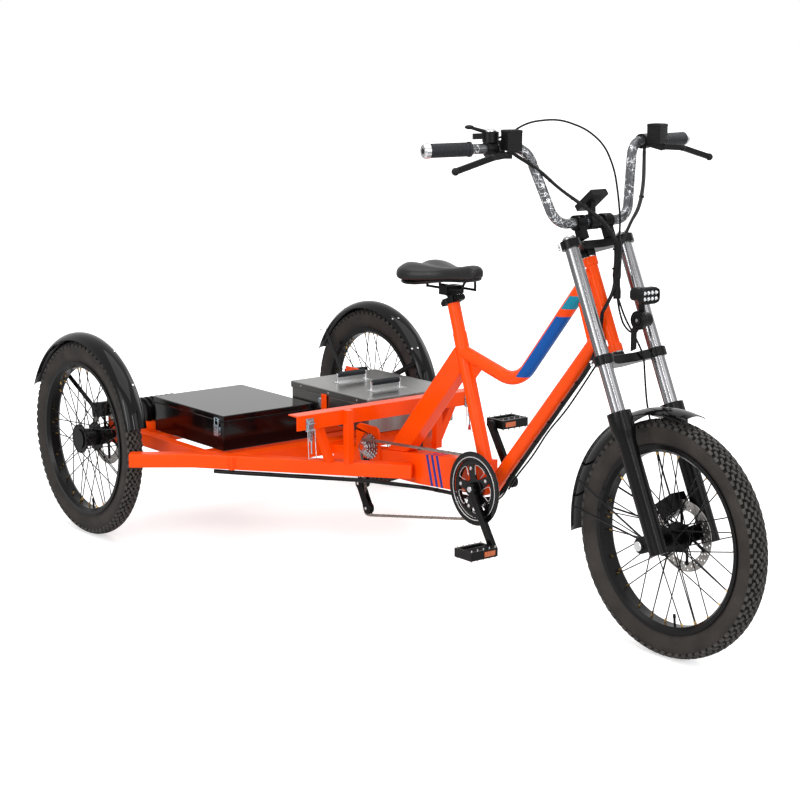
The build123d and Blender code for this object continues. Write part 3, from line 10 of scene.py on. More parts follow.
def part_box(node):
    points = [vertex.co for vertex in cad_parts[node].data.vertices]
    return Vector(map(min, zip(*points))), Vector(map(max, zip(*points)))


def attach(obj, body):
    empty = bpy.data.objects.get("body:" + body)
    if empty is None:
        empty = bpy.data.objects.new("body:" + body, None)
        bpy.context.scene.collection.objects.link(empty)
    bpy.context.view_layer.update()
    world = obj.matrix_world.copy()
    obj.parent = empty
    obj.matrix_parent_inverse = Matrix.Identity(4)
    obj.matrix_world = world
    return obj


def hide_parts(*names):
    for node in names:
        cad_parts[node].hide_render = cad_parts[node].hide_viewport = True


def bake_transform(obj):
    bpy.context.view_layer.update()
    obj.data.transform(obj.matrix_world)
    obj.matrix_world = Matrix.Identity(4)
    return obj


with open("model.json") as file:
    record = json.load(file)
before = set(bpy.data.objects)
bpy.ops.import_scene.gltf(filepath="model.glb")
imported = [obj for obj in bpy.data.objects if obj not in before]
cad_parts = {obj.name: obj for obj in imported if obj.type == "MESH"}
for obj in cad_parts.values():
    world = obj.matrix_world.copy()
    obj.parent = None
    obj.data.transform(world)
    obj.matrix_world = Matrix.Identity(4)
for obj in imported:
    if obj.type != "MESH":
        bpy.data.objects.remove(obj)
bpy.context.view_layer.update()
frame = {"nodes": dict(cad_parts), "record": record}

# Frame tubes: round and square steel tube, welded and powder coated in gloss orange.
# The drawn tubes are kept with their edges softened, and the coat has a fine orange-peel skin.
body_of_node = {node: body for body, nodes in frame["record"]["behaviour"]["bodies"].items()
                for node in nodes}
AHEAD, LEFT, UP = Vector((1, 0, 0)), Vector((0, 1, 0)), Vector((0, 0, 1))
relief_depth = 0.0006
coat_roughness = 0.05


def add_node(tree, kind, inputs=None, **settings):
    """A shader node with its settings made and its inputs set to values or fed by sockets."""
    node = tree.nodes.new("ShaderNode" + kind)
    for key, value in settings.items():
        setattr(node, key, value)
    for key, value in (inputs or {}).items():
        if isinstance(value, bpy.types.NodeSocket):
            tree.links.new(value, node.inputs[key])
        else:
            node.inputs[key].default_value = value
    return node


def finish(name, colour, rough, metal=0.0, coat=0.0, grain=600.0, relief=0.05, tone=0.05,
           tone_scale=9.0, gloss_spread=0.05, stretch=(1, 1, 1), shine=0.5):
    """A procedural finish: a colour that drifts a little, a grain in relief and uneven gloss."""
    made = bpy.data.materials.new(name)
    made.use_nodes = True
    tree = made.node_tree
    place = add_node(tree, "TexCoord").outputs["Object"]
    place = add_node(tree, "Mapping", {"Vector": place, "Scale": stretch}).outputs["Vector"]
    drift = add_node(tree, "TexNoise", {"Vector": place, "Scale": tone_scale, "Detail": 4})
    ramp = add_node(tree, "ValToRGB", {"Fac": drift.outputs["Fac"]})
    for stop, position, share in zip(ramp.color_ramp.elements, (0.3, 0.7), (1 - tone, 1 + tone)):
        stop.position = position
        stop.color = (*[min(1, c * share) for c in colour], 1)
    fine = add_node(tree, "TexNoise", {"Vector": place, "Scale": grain, "Detail": 2})
    gloss = add_node(tree, "MapRange", {"Value": fine.outputs["Fac"],
                                        "To Min": max(0.02, rough - gloss_spread),
                                        "To Max": rough + gloss_spread})
    bump = add_node(tree, "Bump", {"Height": fine.outputs["Fac"], "Strength": relief,
                                   "Distance": relief_depth})
    shader = tree.nodes["Principled BSDF"]
    for key, value in (("Metallic", metal), ("Coat Weight", coat),
                       ("Coat Roughness", coat_roughness), ("Specular IOR Level", shine)):
        shader.inputs[key].default_value = value
    for key, socket in (("Base Color", ramp.outputs["Color"]),
                        ("Roughness", gloss.outputs["Result"]),
                        ("Normal", bump.outputs["Normal"])):
        tree.links.new(socket, shader.inputs[key])
    return made


def placed(name, data):
    """A new object in the scene for some mesh, curve, lamp or camera data."""
    made = bpy.data.objects.new(name, data)
    bpy.context.scene.collection.objects.link(made)
    return made


def mesh_object(name, bm):
    """A mesh object from a finished bmesh."""
    mesh = bpy.data.meshes.new(name)
    bm.to_mesh(mesh)
    bm.free()
    return placed(name, mesh)


def settle(name, bm, material, body, stands_for=(), soft_angle=38, edge=0.0, steps=2):
    """Turn a finished bmesh into a piece of the object, smooth but for its sharp edges."""
    for e in bm.edges:
        e.smooth = len(e.link_faces) == 2 and e.calc_face_angle(0) < math.radians(soft_angle)
    for f in bm.faces:
        f.smooth = True
    piece = mesh_object(name, bm)
    mesh = piece.data
    if "custom_normal" in mesh.attributes:
        mesh.attributes.remove(mesh.attributes["custom_normal"])
    mesh.materials.clear()
    mesh.materials.append(material)
    if edge:
        bevel = piece.modifiers.new("soft_edges", "BEVEL")
        bevel.width = edge
        bevel.segments = steps
        bevel.limit_method = "ANGLE"
        bevel.angle_limit = math.radians(soft_angle)
    if body:
        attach(piece, body)
    if stands_for:
        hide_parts(*stands_for)
    return piece


def merged(node, flatten=True):
    """A bmesh copy of a drawn node with its triangles joined, its flat faces too if asked."""
    bm = bmesh.new()
    bm.from_mesh(frame["nodes"][node].data)
    bmesh.ops.remove_doubles(bm, verts=bm.verts, dist=0.00001)
    if flatten:
        bmesh.ops.dissolve_limit(bm, angle_limit=math.radians(0.5), verts=bm.verts,
                                 edges=bm.edges)
    return bm


def dress(nodes, material, edge=0.0):
    """Drawn nodes shown with joined faces, soft edges and a finish of their own."""
    for node in nodes.split():
        settle(node + "_shown", merged(node, bool(edge)), material, body_of_node[node],
               [node], edge=edge)


orange = finish("orange powder coat", (0.88, 0.066, 0.001), 0.24, coat=0.03, grain=900,
                relief=0.04, tone=0.03, shine=0.14)
dress("head_tube down_tube seat_tube bottom_bracket_shell rear_axle_beam", orange, 0.001)
dress("v_rails deck_side_tubes deck_cross_tubes frame_gussets", orange, 0.003)
dress("upper_cross_rail rail_posts axle_plates jackshaft", orange, 0.0012)

# Top tube: one bent tube with the seat cluster at its foot, painted as the rest of the frame.
# A deep blue band with an orange border runs up its right and lower side, then a teal block.
rear_axle = Vector((-0.950, 0, 0.295))
head_middle = Vector((0.700, 0, 0.839))
lean = math.radians(24.5)
axis_up = Vector((-math.sin(lean), 0, math.cos(lean)))
axis_ahead = Vector((math.cos(lean), 0, math.sin(lean)))


def ahead_of_axle(ahead, up, side=0.0):
    """A point on the frame in metres, measured in millimetres from the rear axle."""
    return rear_axle + Vector((ahead, side, up)) / 1000


def on_fork(ahead, side, up):
    """A point on the steered parts, in millimetres in the leaning frame of the steering axis."""
    return head_middle + (axis_ahead * ahead + axis_up * up + LEFT * side) / 1000


def maths(tree, operation, first, second):
    """The result of one math node, its inputs sockets or plain numbers."""
    return add_node(tree, "Math", {0: first, 1: second}, operation=operation).outputs[0]


def between(tree, value, low, high):
    """One inside two limits, nothing outside them."""
    return maths(tree, "MULTIPLY", maths(tree, "GREATER_THAN", value, low),
                 maths(tree, "LESS_THAN", value, high))


def overpaint(material, mask, colour):
    """Lay a colour over a finish wherever the mask is one."""
    tree = material.node_tree
    socket = tree.nodes["Principled BSDF"].inputs["Base Color"]
    mix = add_node(tree, "Mix", {"Factor": mask, 6: socket.links[0].from_socket,
                                 7: (*colour, 1)}, data_type="RGBA")
    tree.links.new(mix.outputs[2], socket)


def slanted_orange(name, start, run, rise, slope):
    """A copy of the orange coat, with sockets for a slanted place along a line and the height."""
    paint = orange.copy()
    paint.name = name
    tree = paint.node_tree
    place = add_node(tree, "TexCoord").outputs["Object"]
    local = add_node(tree, "VectorMath", {0: place, 1: start}, operation="SUBTRACT")
    along, above = (add_node(tree, "VectorMath", {0: local.outputs["Vector"], 1: direction},
                             operation="DOT_PRODUCT").outputs["Value"]
                    for direction in (run, rise))
    return paint, maths(tree, "ADD", along, maths(tree, "MULTIPLY", above, slope)), above


tube_corner = ahead_of_axle(1339, 299)
tube_run = (on_fork(0, 0, 88) - tube_corner).normalized()
tube_up = Vector((-tube_run.z, 0, tube_run.x))
band_paint, slanted, above = slanted_orange("orange powder coat with a blue band", tube_corner,
                                            tube_run, tube_up, 0.9)
low_side = maths(band_paint.node_tree, "LESS_THAN", above, 0.0065)
# where each colour starts and ends along the tube, and the colour
for first, last, colour in ((0.030, 0.262, (0.001, 0.075, 0.32)),
                            (0.290, 0.338, (0.006, 0.22, 0.33))):
    overpaint(band_paint, maths(band_paint.node_tree, "MULTIPLY", between(
        band_paint.node_tree, slanted, first, last), low_side), colour)
dress("top_tube", band_paint, 0.001)

# Central beam: a deep box section that tapers back from the bracket, painted orange.
# Three slanted navy stripes cross each side just behind the chainring.
stripe_width = 0.011
beam_paint, slanted, _ = slanted_orange("orange powder coat with three stripes",
                                        ahead_of_axle(1010, 0), AHEAD, UP, 0.27)
for start in (-0.012, 0.010, 0.032):
    overpaint(beam_paint, between(beam_paint.node_tree, slanted, start, start + stripe_width),
              (0.012, 0.03, 0.22))
dress("central_beam", beam_paint, 0.003)

# Stay beam: a flat-sided steel tube that braces the seat tube from the central beam.
# Its upper end is carried on until it meets the round tube that it is welded to.
beam_foot, beam_end = ahead_of_axle(812, -3), ahead_of_axle(1084, 304)
beam_run = (beam_end - beam_foot).normalized()
seat_foot, seat_top = ahead_of_axle(1232, 5), ahead_of_axle(1072, 483)
seat_line = (seat_top - seat_foot).normalized()
seat_front = Vector((seat_line.z, 0, -seat_line.x))
weld_behind_axis = 0.010
bm = merged("stay_beam")
for v in bm.verts:
    if (v.co - beam_end).dot(beam_run) > -0.0005:
        behind = -weld_behind_axis - (v.co - seat_foot).dot(seat_front)
        v.co += beam_run * behind / beam_run.dot(seat_front)
settle("stay_beam_shown", bm, orange, "frame", ["stay_beam"], edge=0.003)

# Fork: hard-chromed grey stanchions in satin black lowers, held by two black alloy crowns.
# Each clamp is split and drawn up by a bright socket screw; a screw cap closes each leg.
satin_black = finish("satin black paint", (0.003, 0.003, 0.0035), 0.26, grain=700,
                     relief=0.08, tone=0.15, shine=0.13)
grey_chrome = finish("grey hard chrome", (0.23, 0.23, 0.24), 0.20, metal=1.0, grain=40,
                     relief=0.01, tone=0.10, tone_scale=3, stretch=(14, 14, 1))
bright_steel = finish("bright zinc-plated steel", (0.62, 0.62, 0.63), 0.24, metal=1.0, grain=500,
                      relief=0.04, tone=0.10)
dress("upper_crown lower_crown", satin_black, 0.0025)
dress("fork_lowers", satin_black, 0.002)
dress("stanchions", grey_chrome, 0.001)
dress("front_axle", bright_steel, 0.0015)


def bar(bm, start, end, radius, end_radius=None, sides=16):
    """A round bar or cone between two points."""
    run = end - start
    turn = run.to_track_quat("Z", "Y").to_matrix().to_4x4()
    bmesh.ops.create_cone(bm, cap_ends=True, segments=sides, radius1=radius,
                          radius2=radius if end_radius is None else end_radius,
                          depth=run.length,
                          matrix=Matrix.Translation((start + end) / 2) @ turn)


def screw(bm, seat, direction, radius, height=None):
    """A round screw head. Its socket is sunk only if its top is among the mesh's last faces."""
    height = height or radius
    direction = direction.normalized()
    bar(bm, seat, seat + direction * height, radius, sides=14)
    top = [f for f in bm.faces[-16:] if f.normal.dot(direction) > 0.9]
    if top:
        bmesh.ops.inset_individual(bm, faces=top, thickness=radius * 0.4)
        bmesh.ops.translate(bm, verts=list({v for f in top for v in f.verts}),
                            vec=-direction * height * 0.45)


bm = bmesh.new()
for side in (-1, 1):
    for low, high in ((138, 160), (-158, -135)):
        for up in ((low * 2 + high) / 3, (low + high * 2) / 3):
            screw(bm, on_fork(24, side * 112, up), LEFT * side - axis_ahead * 0.4, 0.0042)
    cap = on_fork(42, side * 90, 166)
    bar(bm, cap, cap + axis_up * 0.004, 0.0150, 0.0135, 24)
for side in (-1, 1):
    for shift in (-9, 9):
        screw(bm, on_fork(55.8, side * 45 + shift, 211), axis_ahead + axis_up * 0.8, 0.0035)
settle("clamp_screws", bm, bright_steel, "steering", edge=0.0004)
bm = bmesh.new()
for start, end in ((122.5, 127.5), (-122.5, -126.0)):
    bar(bm, on_fork(0, 0, start), on_fork(0, 0, end), 0.0178, 0.0165, 32)
settle("headset_rings", bm, bright_steel, "frame", edge=0.0005)

# Tyres: black rubber gone slightly brown, with square blocks cut across a low crown.
# One pitch of the tread is made from blocks and then repeated round the carcass.
rubber = finish("tyre wall rubber", (0.027, 0.0225, 0.020), 0.70, grain=900, relief=0.25,
                tone=0.35, tone_scale=16, gloss_spread=0.1, shine=0.25)
tread_rubber = finish("tyre tread rubber", (0.048, 0.044, 0.041), 0.62, grain=900, relief=0.3,
                      tone=0.35, tone_scale=60, gloss_spread=0.12, shine=0.25)
# The crown between the tread blocks gets rubber darker than the wall: painted shade in the
# grooves.
groove_shade_rubber = finish("tyre crown rubber with painted groove shade", (0.010, 0.009, 0.008), 0.75, grain=900,
                       relief=0.2, shine=0.15)
drawn_half = 0.030
groove_radius = 0.2782
pitches = 76
block_depth = 0.0094
crown_drop, crown_power = 0.0150, 2.6


def turned_ring(bm, centre, profile, steps=96):
    """A closed ring spun about the axle from (side, radius) corners."""
    verts = [bm.verts.new(centre + Vector((0, side, radius))) for side, radius in profile]
    edges = [bm.edges.new(pair) for pair in zip(verts, verts[1:] + verts[:1])]
    bmesh.ops.spin(bm, geom=verts + edges, cent=centre, axis=LEFT, dvec=(0, 0, 0),
                   angle=math.tau, steps=steps, use_merge=True, use_duplicate=False)


def block(bm, middle, size, turn=None):
    """A plain box about its middle, turned if a rotation is given. Gives back its corners."""
    place = Matrix.Translation(middle)
    if turn is not None:
        place = place @ turn.to_4x4()
    return bmesh.ops.create_cube(bm, size=1.0, matrix=place @ Matrix.Diagonal((*size, 1)))["verts"]


def tyre(name, node, body, centre, half):
    """A knobbly tyre: carcass with ribbed walls, then shoulder, middle and centre blocks."""
    bm = bmesh.new()
    k = half / drawn_half
    wall = [(0.0170, 0.2285), (0.0175, 0.2335), (0.0215 * k, 0.2385), (0.0222 * k, 0.2400),
            (0.0262 * k, 0.2470), (0.0290 * k, 0.2560), (0.0293 * k, 0.2625),
            (0.0296 * k, 0.2632), (0.0289 * k, 0.2700), (0.0270 * k, 0.2775),
            (0.0230 * k, 0.2812), (0.0160 * k, 0.2848), (0.0080 * k, 0.2866)]
    turned_ring(bm, centre, wall + [(0.0, 0.2872)] + [(-s, r) for s, r in reversed(wall)], 144)
    bmesh.ops.recalc_face_normals(bm, faces=bm.faces)
    carcass = settle(name + "_carcass", bm, rubber, body, [node], 30)
    carcass.data.materials.append(groove_shade_rubber)
    # Carcass faces past groove_radius take the darker rubber, painted shade between the blocks.
    for face in carcass.data.polygons:
        face.material_index = (face.center - centre).xz.length > groove_radius
    bm = bmesh.new()
    # place on the crown from the centre line, its size round and across, its turn and its phase
    blocks = [(0.0040, 0.0150, 0.0062, 20, 0.0), (0.0115, 0.0140, 0.0060, -26, 0.5),
              (0.0185, 0.0150, 0.0062, 14, 0.0), (0.0248, 0.0130, 0.0078, 0, 0.5)]
    tips = []
    for sign in (-1, 1):
        for place, long, wide, slant, phase in blocks:
            level = place / drawn_half
            radius = 0.2905 - crown_drop * level ** crown_power
            slope = crown_power * crown_drop / drawn_half * level ** (crown_power - 1)
            onward = Matrix.Rotation(math.tau / pitches * (phase + max(sign, 0) / 2), 4, "Y")
            spot = centre + onward @ Vector((0, place * k * sign, radius - 0.0010))
            turned = onward @ Matrix.Rotation(-math.atan(slope * 1.25) * sign, 4, "X") \
                @ Matrix.Rotation(math.radians(slant * sign), 4, "Z")
            tips += block(bm, spot, (long, wide, block_depth), turned)
    pitch_geometry = tips + list({e for v in tips for e in v.link_edges}) + \
        list({f for v in tips for f in v.link_faces})
    bmesh.ops.spin(bm, geom=pitch_geometry, cent=centre, axis=LEFT, dvec=(0, 0, 0),
                   angle=math.tau * (pitches - 1) / pitches, steps=pitches - 1,
                   use_merge=False, use_duplicate=True)
    bmesh.ops.recalc_face_normals(bm, faces=bm.faces)
    settle(name + "_blocks", bm, tread_rubber, body, soft_angle=30)


# each wheel's body, centre, half width of its tyre, and how far to the side its rotor stands
wheels = {
    "front": ("front_wheel", Vector((0.950, 0, 0.295)), 0.0300, 0.048),
    "rear_right": ("rear_wheel_right", Vector((-0.950, -0.545, 0.295)), 0.0250, 0.065),
    "rear_left": ("rear_wheel_left", Vector((-0.950, 0.545, 0.295)), 0.0250, -0.065),
}
for name, (body, centre, half, _) in wheels.items():
    tyre(name + "_tread", name + "_tyre", body, centre, half)

# Rims, spokes and hubs: black anodised rims laced with thick black spokes to black hubs.
# A brass nipple seats each spoke in the rim, and a black valve stands near the foot of it.
anodised = finish("black anodised alloy", (0.005, 0.005, 0.0054), 0.26, metal=0.1, grain=300,
                  relief=0.05, tone=0.1, shine=0.16)
brass = finish("dull brass", (0.42, 0.27, 0.10), 0.35, metal=1.0, grain=300, relief=0.05)
hub_reach = 0.046
rim_seat = 0.2150
spokes_a_side = 18


def around(centre, radius, angle, side=0.0):
    """A point at an angle above the forward direction, round an axle."""
    return centre + Vector((math.cos(angle) * radius, side, math.sin(angle) * radius))


for name, (body, centre, _, _) in wheels.items():
    dress(name + "_rim", anodised)
    bm = merged(name + "_hub", False)
    loose = [f for f in bm.faces if any((v.co - centre).xz.length > hub_reach for v in f.verts)]
    bmesh.ops.delete(bm, geom=loose, context="FACES")
    settle(name + "_hub_shown", bm, satin_black, body,
           [name + "_hub"])
    flange = 0.033 if name == "front" else 0.039
    bm = bmesh.new()
    for side in (-1, 1):
        for index in range(spokes_a_side):
            leaning = 1 if index % 2 == 0 else -1
            hub_angle = math.tau * (index + (side + 1) / 4) / spokes_a_side
            rim_angle = hub_angle + leaning * math.radians(44)
            foot = around(centre, flange, hub_angle, side * (0.027 + leaning * 0.0025))
            head = around(centre, rim_seat, rim_angle, side * 0.005)
            bar(bm, head, head + (foot - head).normalized() * 0.0095, 0.0030, 0.0023, 8)
    settle(name + "_nipples", bm, brass, body)
    bm = bmesh.new()
    rim_end, neck, tip = (around(centre, radius, math.radians(-84))
                          for radius in (rim_seat, 0.1960, 0.1860))
    bar(bm, rim_end, neck, 0.0030, sides=12)
    bar(bm, neck, tip, 0.0042, 0.0036, 12)
    settle(name + "_valve", bm, satin_black, body, edge=0.0004)

# Brake rotors: drilled stainless discs, each on a black carrier of six arms.
# The disc is cut from a plate with all its holes taken out in one boolean.
rotor_steel = finish("ground rotor steel", (0.33, 0.315, 0.30), 0.30, metal=1.0, grain=260,
                     relief=0.05, tone=0.12, tone_scale=30)
rotor_holes = 72
carrier_arms = 6


def flat_ring(bm, centre, half, inner, outer, steps):
    """A flat ring about the axle, from its half thickness and its two radii."""
    turned_ring(bm, centre, [(-half, inner), (half, inner), (half, outer), (-half, outer)], steps)


def baked(made):
    """The mesh that an object shows once its curve or modifiers are worked out."""
    bpy.context.view_layer.update()
    mesh = bpy.data.meshes.new_from_object(
        made.evaluated_get(bpy.context.evaluated_depsgraph_get()))
    bpy.data.objects.remove(made)
    return mesh


def rotor(name, body, centre, offset):
    """A drilled rotor at a side place, with its carrier and the six screws that hold it."""
    middle = centre + LEFT * offset
    bm = bmesh.new()
    flat_ring(bm, middle, 0.0012, 0.0640, 0.0895, 96)
    bmesh.ops.recalc_face_normals(bm, faces=bm.faces)
    plate = mesh_object(name, bm)
    bm = bmesh.new()
    for index in range(rotor_holes):
        spot = around(middle, (0.0690, 0.0765, 0.0840)[index % 3], math.tau * index / rotor_holes)
        bar(bm, spot - LEFT * 0.004, spot + LEFT * 0.004, 0.0026, sides=10)
    cutter = mesh_object("holes", bm)
    cut = plate.modifiers.new("drilled", "BOOLEAN")
    cut.operation = "DIFFERENCE"
    cut.object = cutter
    cut.solver = "EXACT"
    bm = bmesh.new()
    bm.from_mesh(baked(plate))
    bpy.data.objects.remove(cutter)
    settle(name, bm, rotor_steel, body, soft_angle=30)
    bm = bmesh.new()
    for index in range(carrier_arms):
        arm = around(Vector(), 1, math.tau * index / carrier_arms)
        root, tip = middle + arm * 0.018, middle + Matrix.Rotation(0.35, 3, "Y") @ arm * 0.068
        run = tip - root
        block(bm, (root + tip) / 2, (run.length, 0.0024, 0.0085),
              run.to_track_quat("X", "Y").to_matrix())
        bar(bm, tip - LEFT * 0.0018, tip + LEFT * 0.0018, 0.0062)
    flat_ring(bm, middle, 0.0014, 0.0105, 0.0290, 48)
    settle(name + "_carrier", bm, satin_black, body, edge=0.0004)
    bm = bmesh.new()
    outward = LEFT * math.copysign(1, -centre.y if centre.y else offset)
    for index in range(carrier_arms):
        spot = around(middle, 0.0225, math.tau * (index + 0.5) / carrier_arms)
        screw(bm, spot + outward * 0.0014, outward, 0.0036, 0.0022)
    settle(name + "_screws", bm, bright_steel, body)


for name, (body, centre, _, offset) in wheels.items():
    rotor(name + "_rotor", body, centre, offset)

# Mudguards: glossy black arched plastic over each wheel, on black wire stays.
# Small bright screws and flat straps hold each rear guard to its stays and to the axle beam.
gloss_black = finish("gloss black plastic", (0.003, 0.003, 0.0033), 0.10, coat=0.05, grain=60,
                     relief=0.03, tone=0.1, shine=0.16)
dress("front_fender rear_fender_right rear_fender_left", gloss_black, 0.0006)
wheel_half = 0.545


def rivet(bm, seat, direction, radius=0.0028):
    """A low domed rivet head."""
    shoulder = seat + direction * 0.0007
    bar(bm, seat - direction * 0.0004, shoulder, radius, radius, 14)
    bar(bm, shoulder, seat + direction * 0.0014, radius * 0.85, radius * 0.4, 14)


bm = bmesh.new()
for name in ("rear_right", "rear_left"):
    centre = wheels[name][1]
    guard_low, guard_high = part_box("rear_fender_right" if centre.y < 0 else "rear_fender_left")
    middle = Vector((centre.x, (guard_low.y + guard_high.y) / 2, centre.z))
    for degrees in (38, 62, 118, 142):
        out = around(Vector(), 1, math.radians(degrees))
        for side in (-0.012, 0.012):
            rivet(bm, middle + LEFT * side + out * (guard_high.z - centre.z - 0.0006), out, 0.0034)
settle("guard_screws", bm, bright_steel, "frame")
bm = bmesh.new()
beam_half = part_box("rear_axle_beam")[1].y
for side in (-1, 1):
    for degrees in (30, 140):
        angle = math.radians(degrees)
        foot = around(rear_axle, 0.030, angle, side * (beam_half + 0.0025))
        top = around(rear_axle, 0.2995, angle, side * (wheel_half - 0.0325))
        start = foot.lerp(top, 0.34)
        run = (top - start).normalized()
        flat = (LEFT - run * run.y).normalized()
        block(bm, (start + top) / 2, ((top - start).length, 0.0030, 0.0180),
              Matrix((run, flat, run.cross(flat))).transposed())
settle("rear_guard_straps", bm, satin_black, "frame", edge=0.0008)

# Boxes: a glossy black battery case on the right and a brushed steel case on the left.
# Both have a folded lid with a lip; the steel one is riveted round its edge.
case_black = finish("gloss black powder coat", (0.003, 0.002, 0.0022), 0.14, coat=0.15, grain=700,
                    relief=0.04, tone=0.1, shine=0.2)
case_steel = finish("brushed stainless sheet", (0.25, 0.245, 0.24), 0.30, metal=1.0, grain=90,
                    relief=0.03, tone=0.10, tone_scale=4, stretch=(1, 26, 1))
dress("battery_box battery_lid", case_black, 0.0025)
dress("controller_box controller_lid", case_steel, 0.0022)
dress("lid_handles", bright_steel, 0.0008)
lid_low, lid_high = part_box("controller_lid")
lip = lid_high.z - 0.010
lid_corner = 0.012
bm = bmesh.new()
for share in (0.14, 0.50, 0.86):
    x, y = (low + (high - low) * share for low, high in zip(lid_low.xy, lid_high.xy))
    for seat, out in (((x, lid_low.y), -LEFT), ((x, lid_high.y), LEFT),
                      ((lid_high.x, y), AHEAD), ((lid_low.x, y), -AHEAD)):
        rivet(bm, Vector((*seat, lip)), out)
for x in (lid_low.x + lid_corner, lid_high.x - lid_corner):
    for y in (lid_low.y + lid_corner, lid_high.y - lid_corner):
        rivet(bm, Vector((x, y, lid_high.z)), UP, 0.0022)
settle("steel_lid_rivets", bm, bright_steel, "frame")

# Lid handles: bent steel bars under ribbed rubber sleeves, each riveted to the steel lid.
# A short orange strap on the case's right side holds it to the frame.
grip_rubber = finish("soft grip rubber", (0.011, 0.013, 0.016), 0.5, grain=900, relief=0.2,
                     tone=0.2, shine=0.3)
handles_ahead = (405.7, 576.9)
sleeve_ribs = 16
bm = bmesh.new()
for ahead in handles_ahead:
    start, end = ahead_of_axle(ahead, 179, 100), ahead_of_axle(ahead, 179, 196)
    bar(bm, start, end, 0.0078, sides=24)
    for index in range(sleeve_ribs):
        spot = start.lerp(end, (index + 0.5) / sleeve_ribs)
        bar(bm, spot - LEFT * 0.0018, spot + LEFT * 0.0018, 0.0086, sides=24)
settle("handle_sleeves", bm, grip_rubber, "frame", soft_angle=50)
bm = bmesh.new()
for ahead in handles_ahead:
    on_lid = Vector((rear_axle.x + ahead / 1000, 0, lid_high.z))
    for side in (0.094, 0.202):
        for shift in (-0.009, 0.009):
            rivet(bm, on_lid + Vector((shift, side, 0.0015)), UP, 0.0030)
    block(bm, on_lid + Vector((0.006, 0.148, 0.0008)), (0.036, 0.126, 0.0018))
settle("handle_screws", bm, bright_steel, "frame", edge=0.0003)
bm = bmesh.new()
block(bm, Vector((-0.486, lid_low.y - 0.0018, 0.388)), (0.024, 0.0036, 0.092))
settle("case_strap", bm, orange, "frame", edge=0.0008)

# Case latches: small pressed latches, zinc plated and riveted over the edge of each lid.
# The one on the battery case has a wire loop; the one on the steel case is a plain hasp.
zinc = finish("blue zinc plate", (0.42, 0.52, 0.58), 0.26, metal=1.0, grain=300, relief=0.08,
              tone=0.25, tone_scale=60)
case_low, case_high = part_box("battery_box")
latch_at = Vector((case_high.x - 0.030, case_low.y, case_low.z + 0.070))
strap_at = Vector((-0.506, lid_low.y, 0.398))
bm = bmesh.new()
# each plate's latch, its place out from the case and up, and its size
for spot, out, up, size in ((latch_at, 0.0012, -0.012, (0.030, 0.0024, 0.026)),
                            (latch_at, 0.0012, 0.024, (0.022, 0.0024, 0.016)),
                            (latch_at, 0.0060, -0.010, (0.024, 0.0020, 0.034)),
                            (strap_at, 0.0012, 0, (0.016, 0.0024, 0.046)),
                            (strap_at, 0.0042, 0.006, (0.011, 0.0036, 0.026))):
    block(bm, spot + Vector((0, -out, up)), size)
loop_foot, loop_top = (latch_at + Vector((0, -0.0050, up)) for up in (-0.012, 0.026))
loop_half = AHEAD * 0.010
for start, end, radius in ((loop_foot - loop_half, loop_top - loop_half, 0.0013),
                           (loop_foot + loop_half, loop_top + loop_half, 0.0013),
                           (loop_top - loop_half, loop_top + loop_half, 0.0016)):
    bar(bm, start, end, radius, sides=8)
for up in (-0.020, -0.004, 0.024):
    for ahead in (-0.0125, 0.0125):
        rivet(bm, latch_at + Vector((ahead, -0.0024, up)), -LEFT, 0.0018)
for up in (0.019, -0.019):
    rivet(bm, strap_at + Vector((0, -0.0024, up)), -LEFT, 0.0022)
settle("battery_latch", bm, zinc, "frame", edge=0.0004)

# Toggle latches: two pressed zinc latches on the front of the cross rail, for a cargo body.
# Each has a bright wire bail hanging down and a lever; the left lever's tip is dipped in red.
red_grip = finish("red dipped lever tip", (0.55, 0.012, 0.010), 0.3, coat=0.2, grain=500)


def wire(name, lines, radius, material, body, smooth=True, sides=10):
    """Round wires or cables of one thickness along lists of points, joined as one piece."""
    bm = bmesh.new()
    for points in lines:
        data = bpy.data.curves.new(name, "CURVE")
        data.dimensions = "3D"
        data.bevel_depth = radius
        data.bevel_resolution = max(1, sides // 4)
        data.use_fill_caps = True
        line = data.splines.new("BEZIER" if smooth else "POLY")
        spots = line.bezier_points if smooth else line.points
        spots.add(len(points) - 1)
        for spot, point in zip(spots, points):
            if smooth:
                spot.co = point
                spot.handle_left_type = spot.handle_right_type = "AUTO"
            else:
                spot.co = (*point, 1)
        line.resolution_u = 6
        solid = baked(placed(name, data))
        bm.from_mesh(solid)
        bpy.data.meshes.remove(solid)
    return settle(name, bm, material, body, soft_angle=60)


bail_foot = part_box("toggle_latches")[0].z + 0.002
bm = bmesh.new()
bails, levers = [], []
for side in (-1, 1):
    face = Vector((-0.1550, side * 0.286, 0.432))
    # each plate's place out from the rail and up, and its size
    for out, up, size in ((0.0015, 0, (0.0032, 0.0260, 0.0360)),
                          (0.0050, -0.004, (0.0050, 0.0150, 0.0300)),
                          (0.0066, -0.030, (0.0026, 0.0100, 0.0340))):
        block(bm, face + Vector((out, 0, up)), size)
    for up in (0.012, -0.012):
        for shift in (-0.0095, 0.0095):
            rivet(bm, face + Vector((0.0031, shift, up)), AHEAD, 0.0020)
    for up, reach in ((0.004, 0.0120), (-0.014, 0.0130)):
        pin = face + Vector((0.0075, 0, up))
        bar(bm, pin - LEFT * reach, pin + LEFT * reach, 0.0024, sides=12)
    top, foot = face + Vector((0.0080, 0, -0.014)), Vector((face.x + 0.013, face.y, bail_foot))
    wide, narrow = LEFT * 0.0128, LEFT * 0.0118
    bails.append([top - narrow, foot - wide, foot + wide, top + narrow])
    levers.append([face + Vector((0.0080, 0, -0.045)), foot + Vector((-0.004, 0, 0.012))])
wire("latch_bails", bails, 0.0014, bright_steel, "frame", smooth=False, sides=8)
wire("latch_levers", levers, 0.0022, zinc, "frame", smooth=False, sides=8)
settle("latch_bodies", bm, zinc, "frame", ["toggle_latches"], edge=0.0004)
bm = bmesh.new()
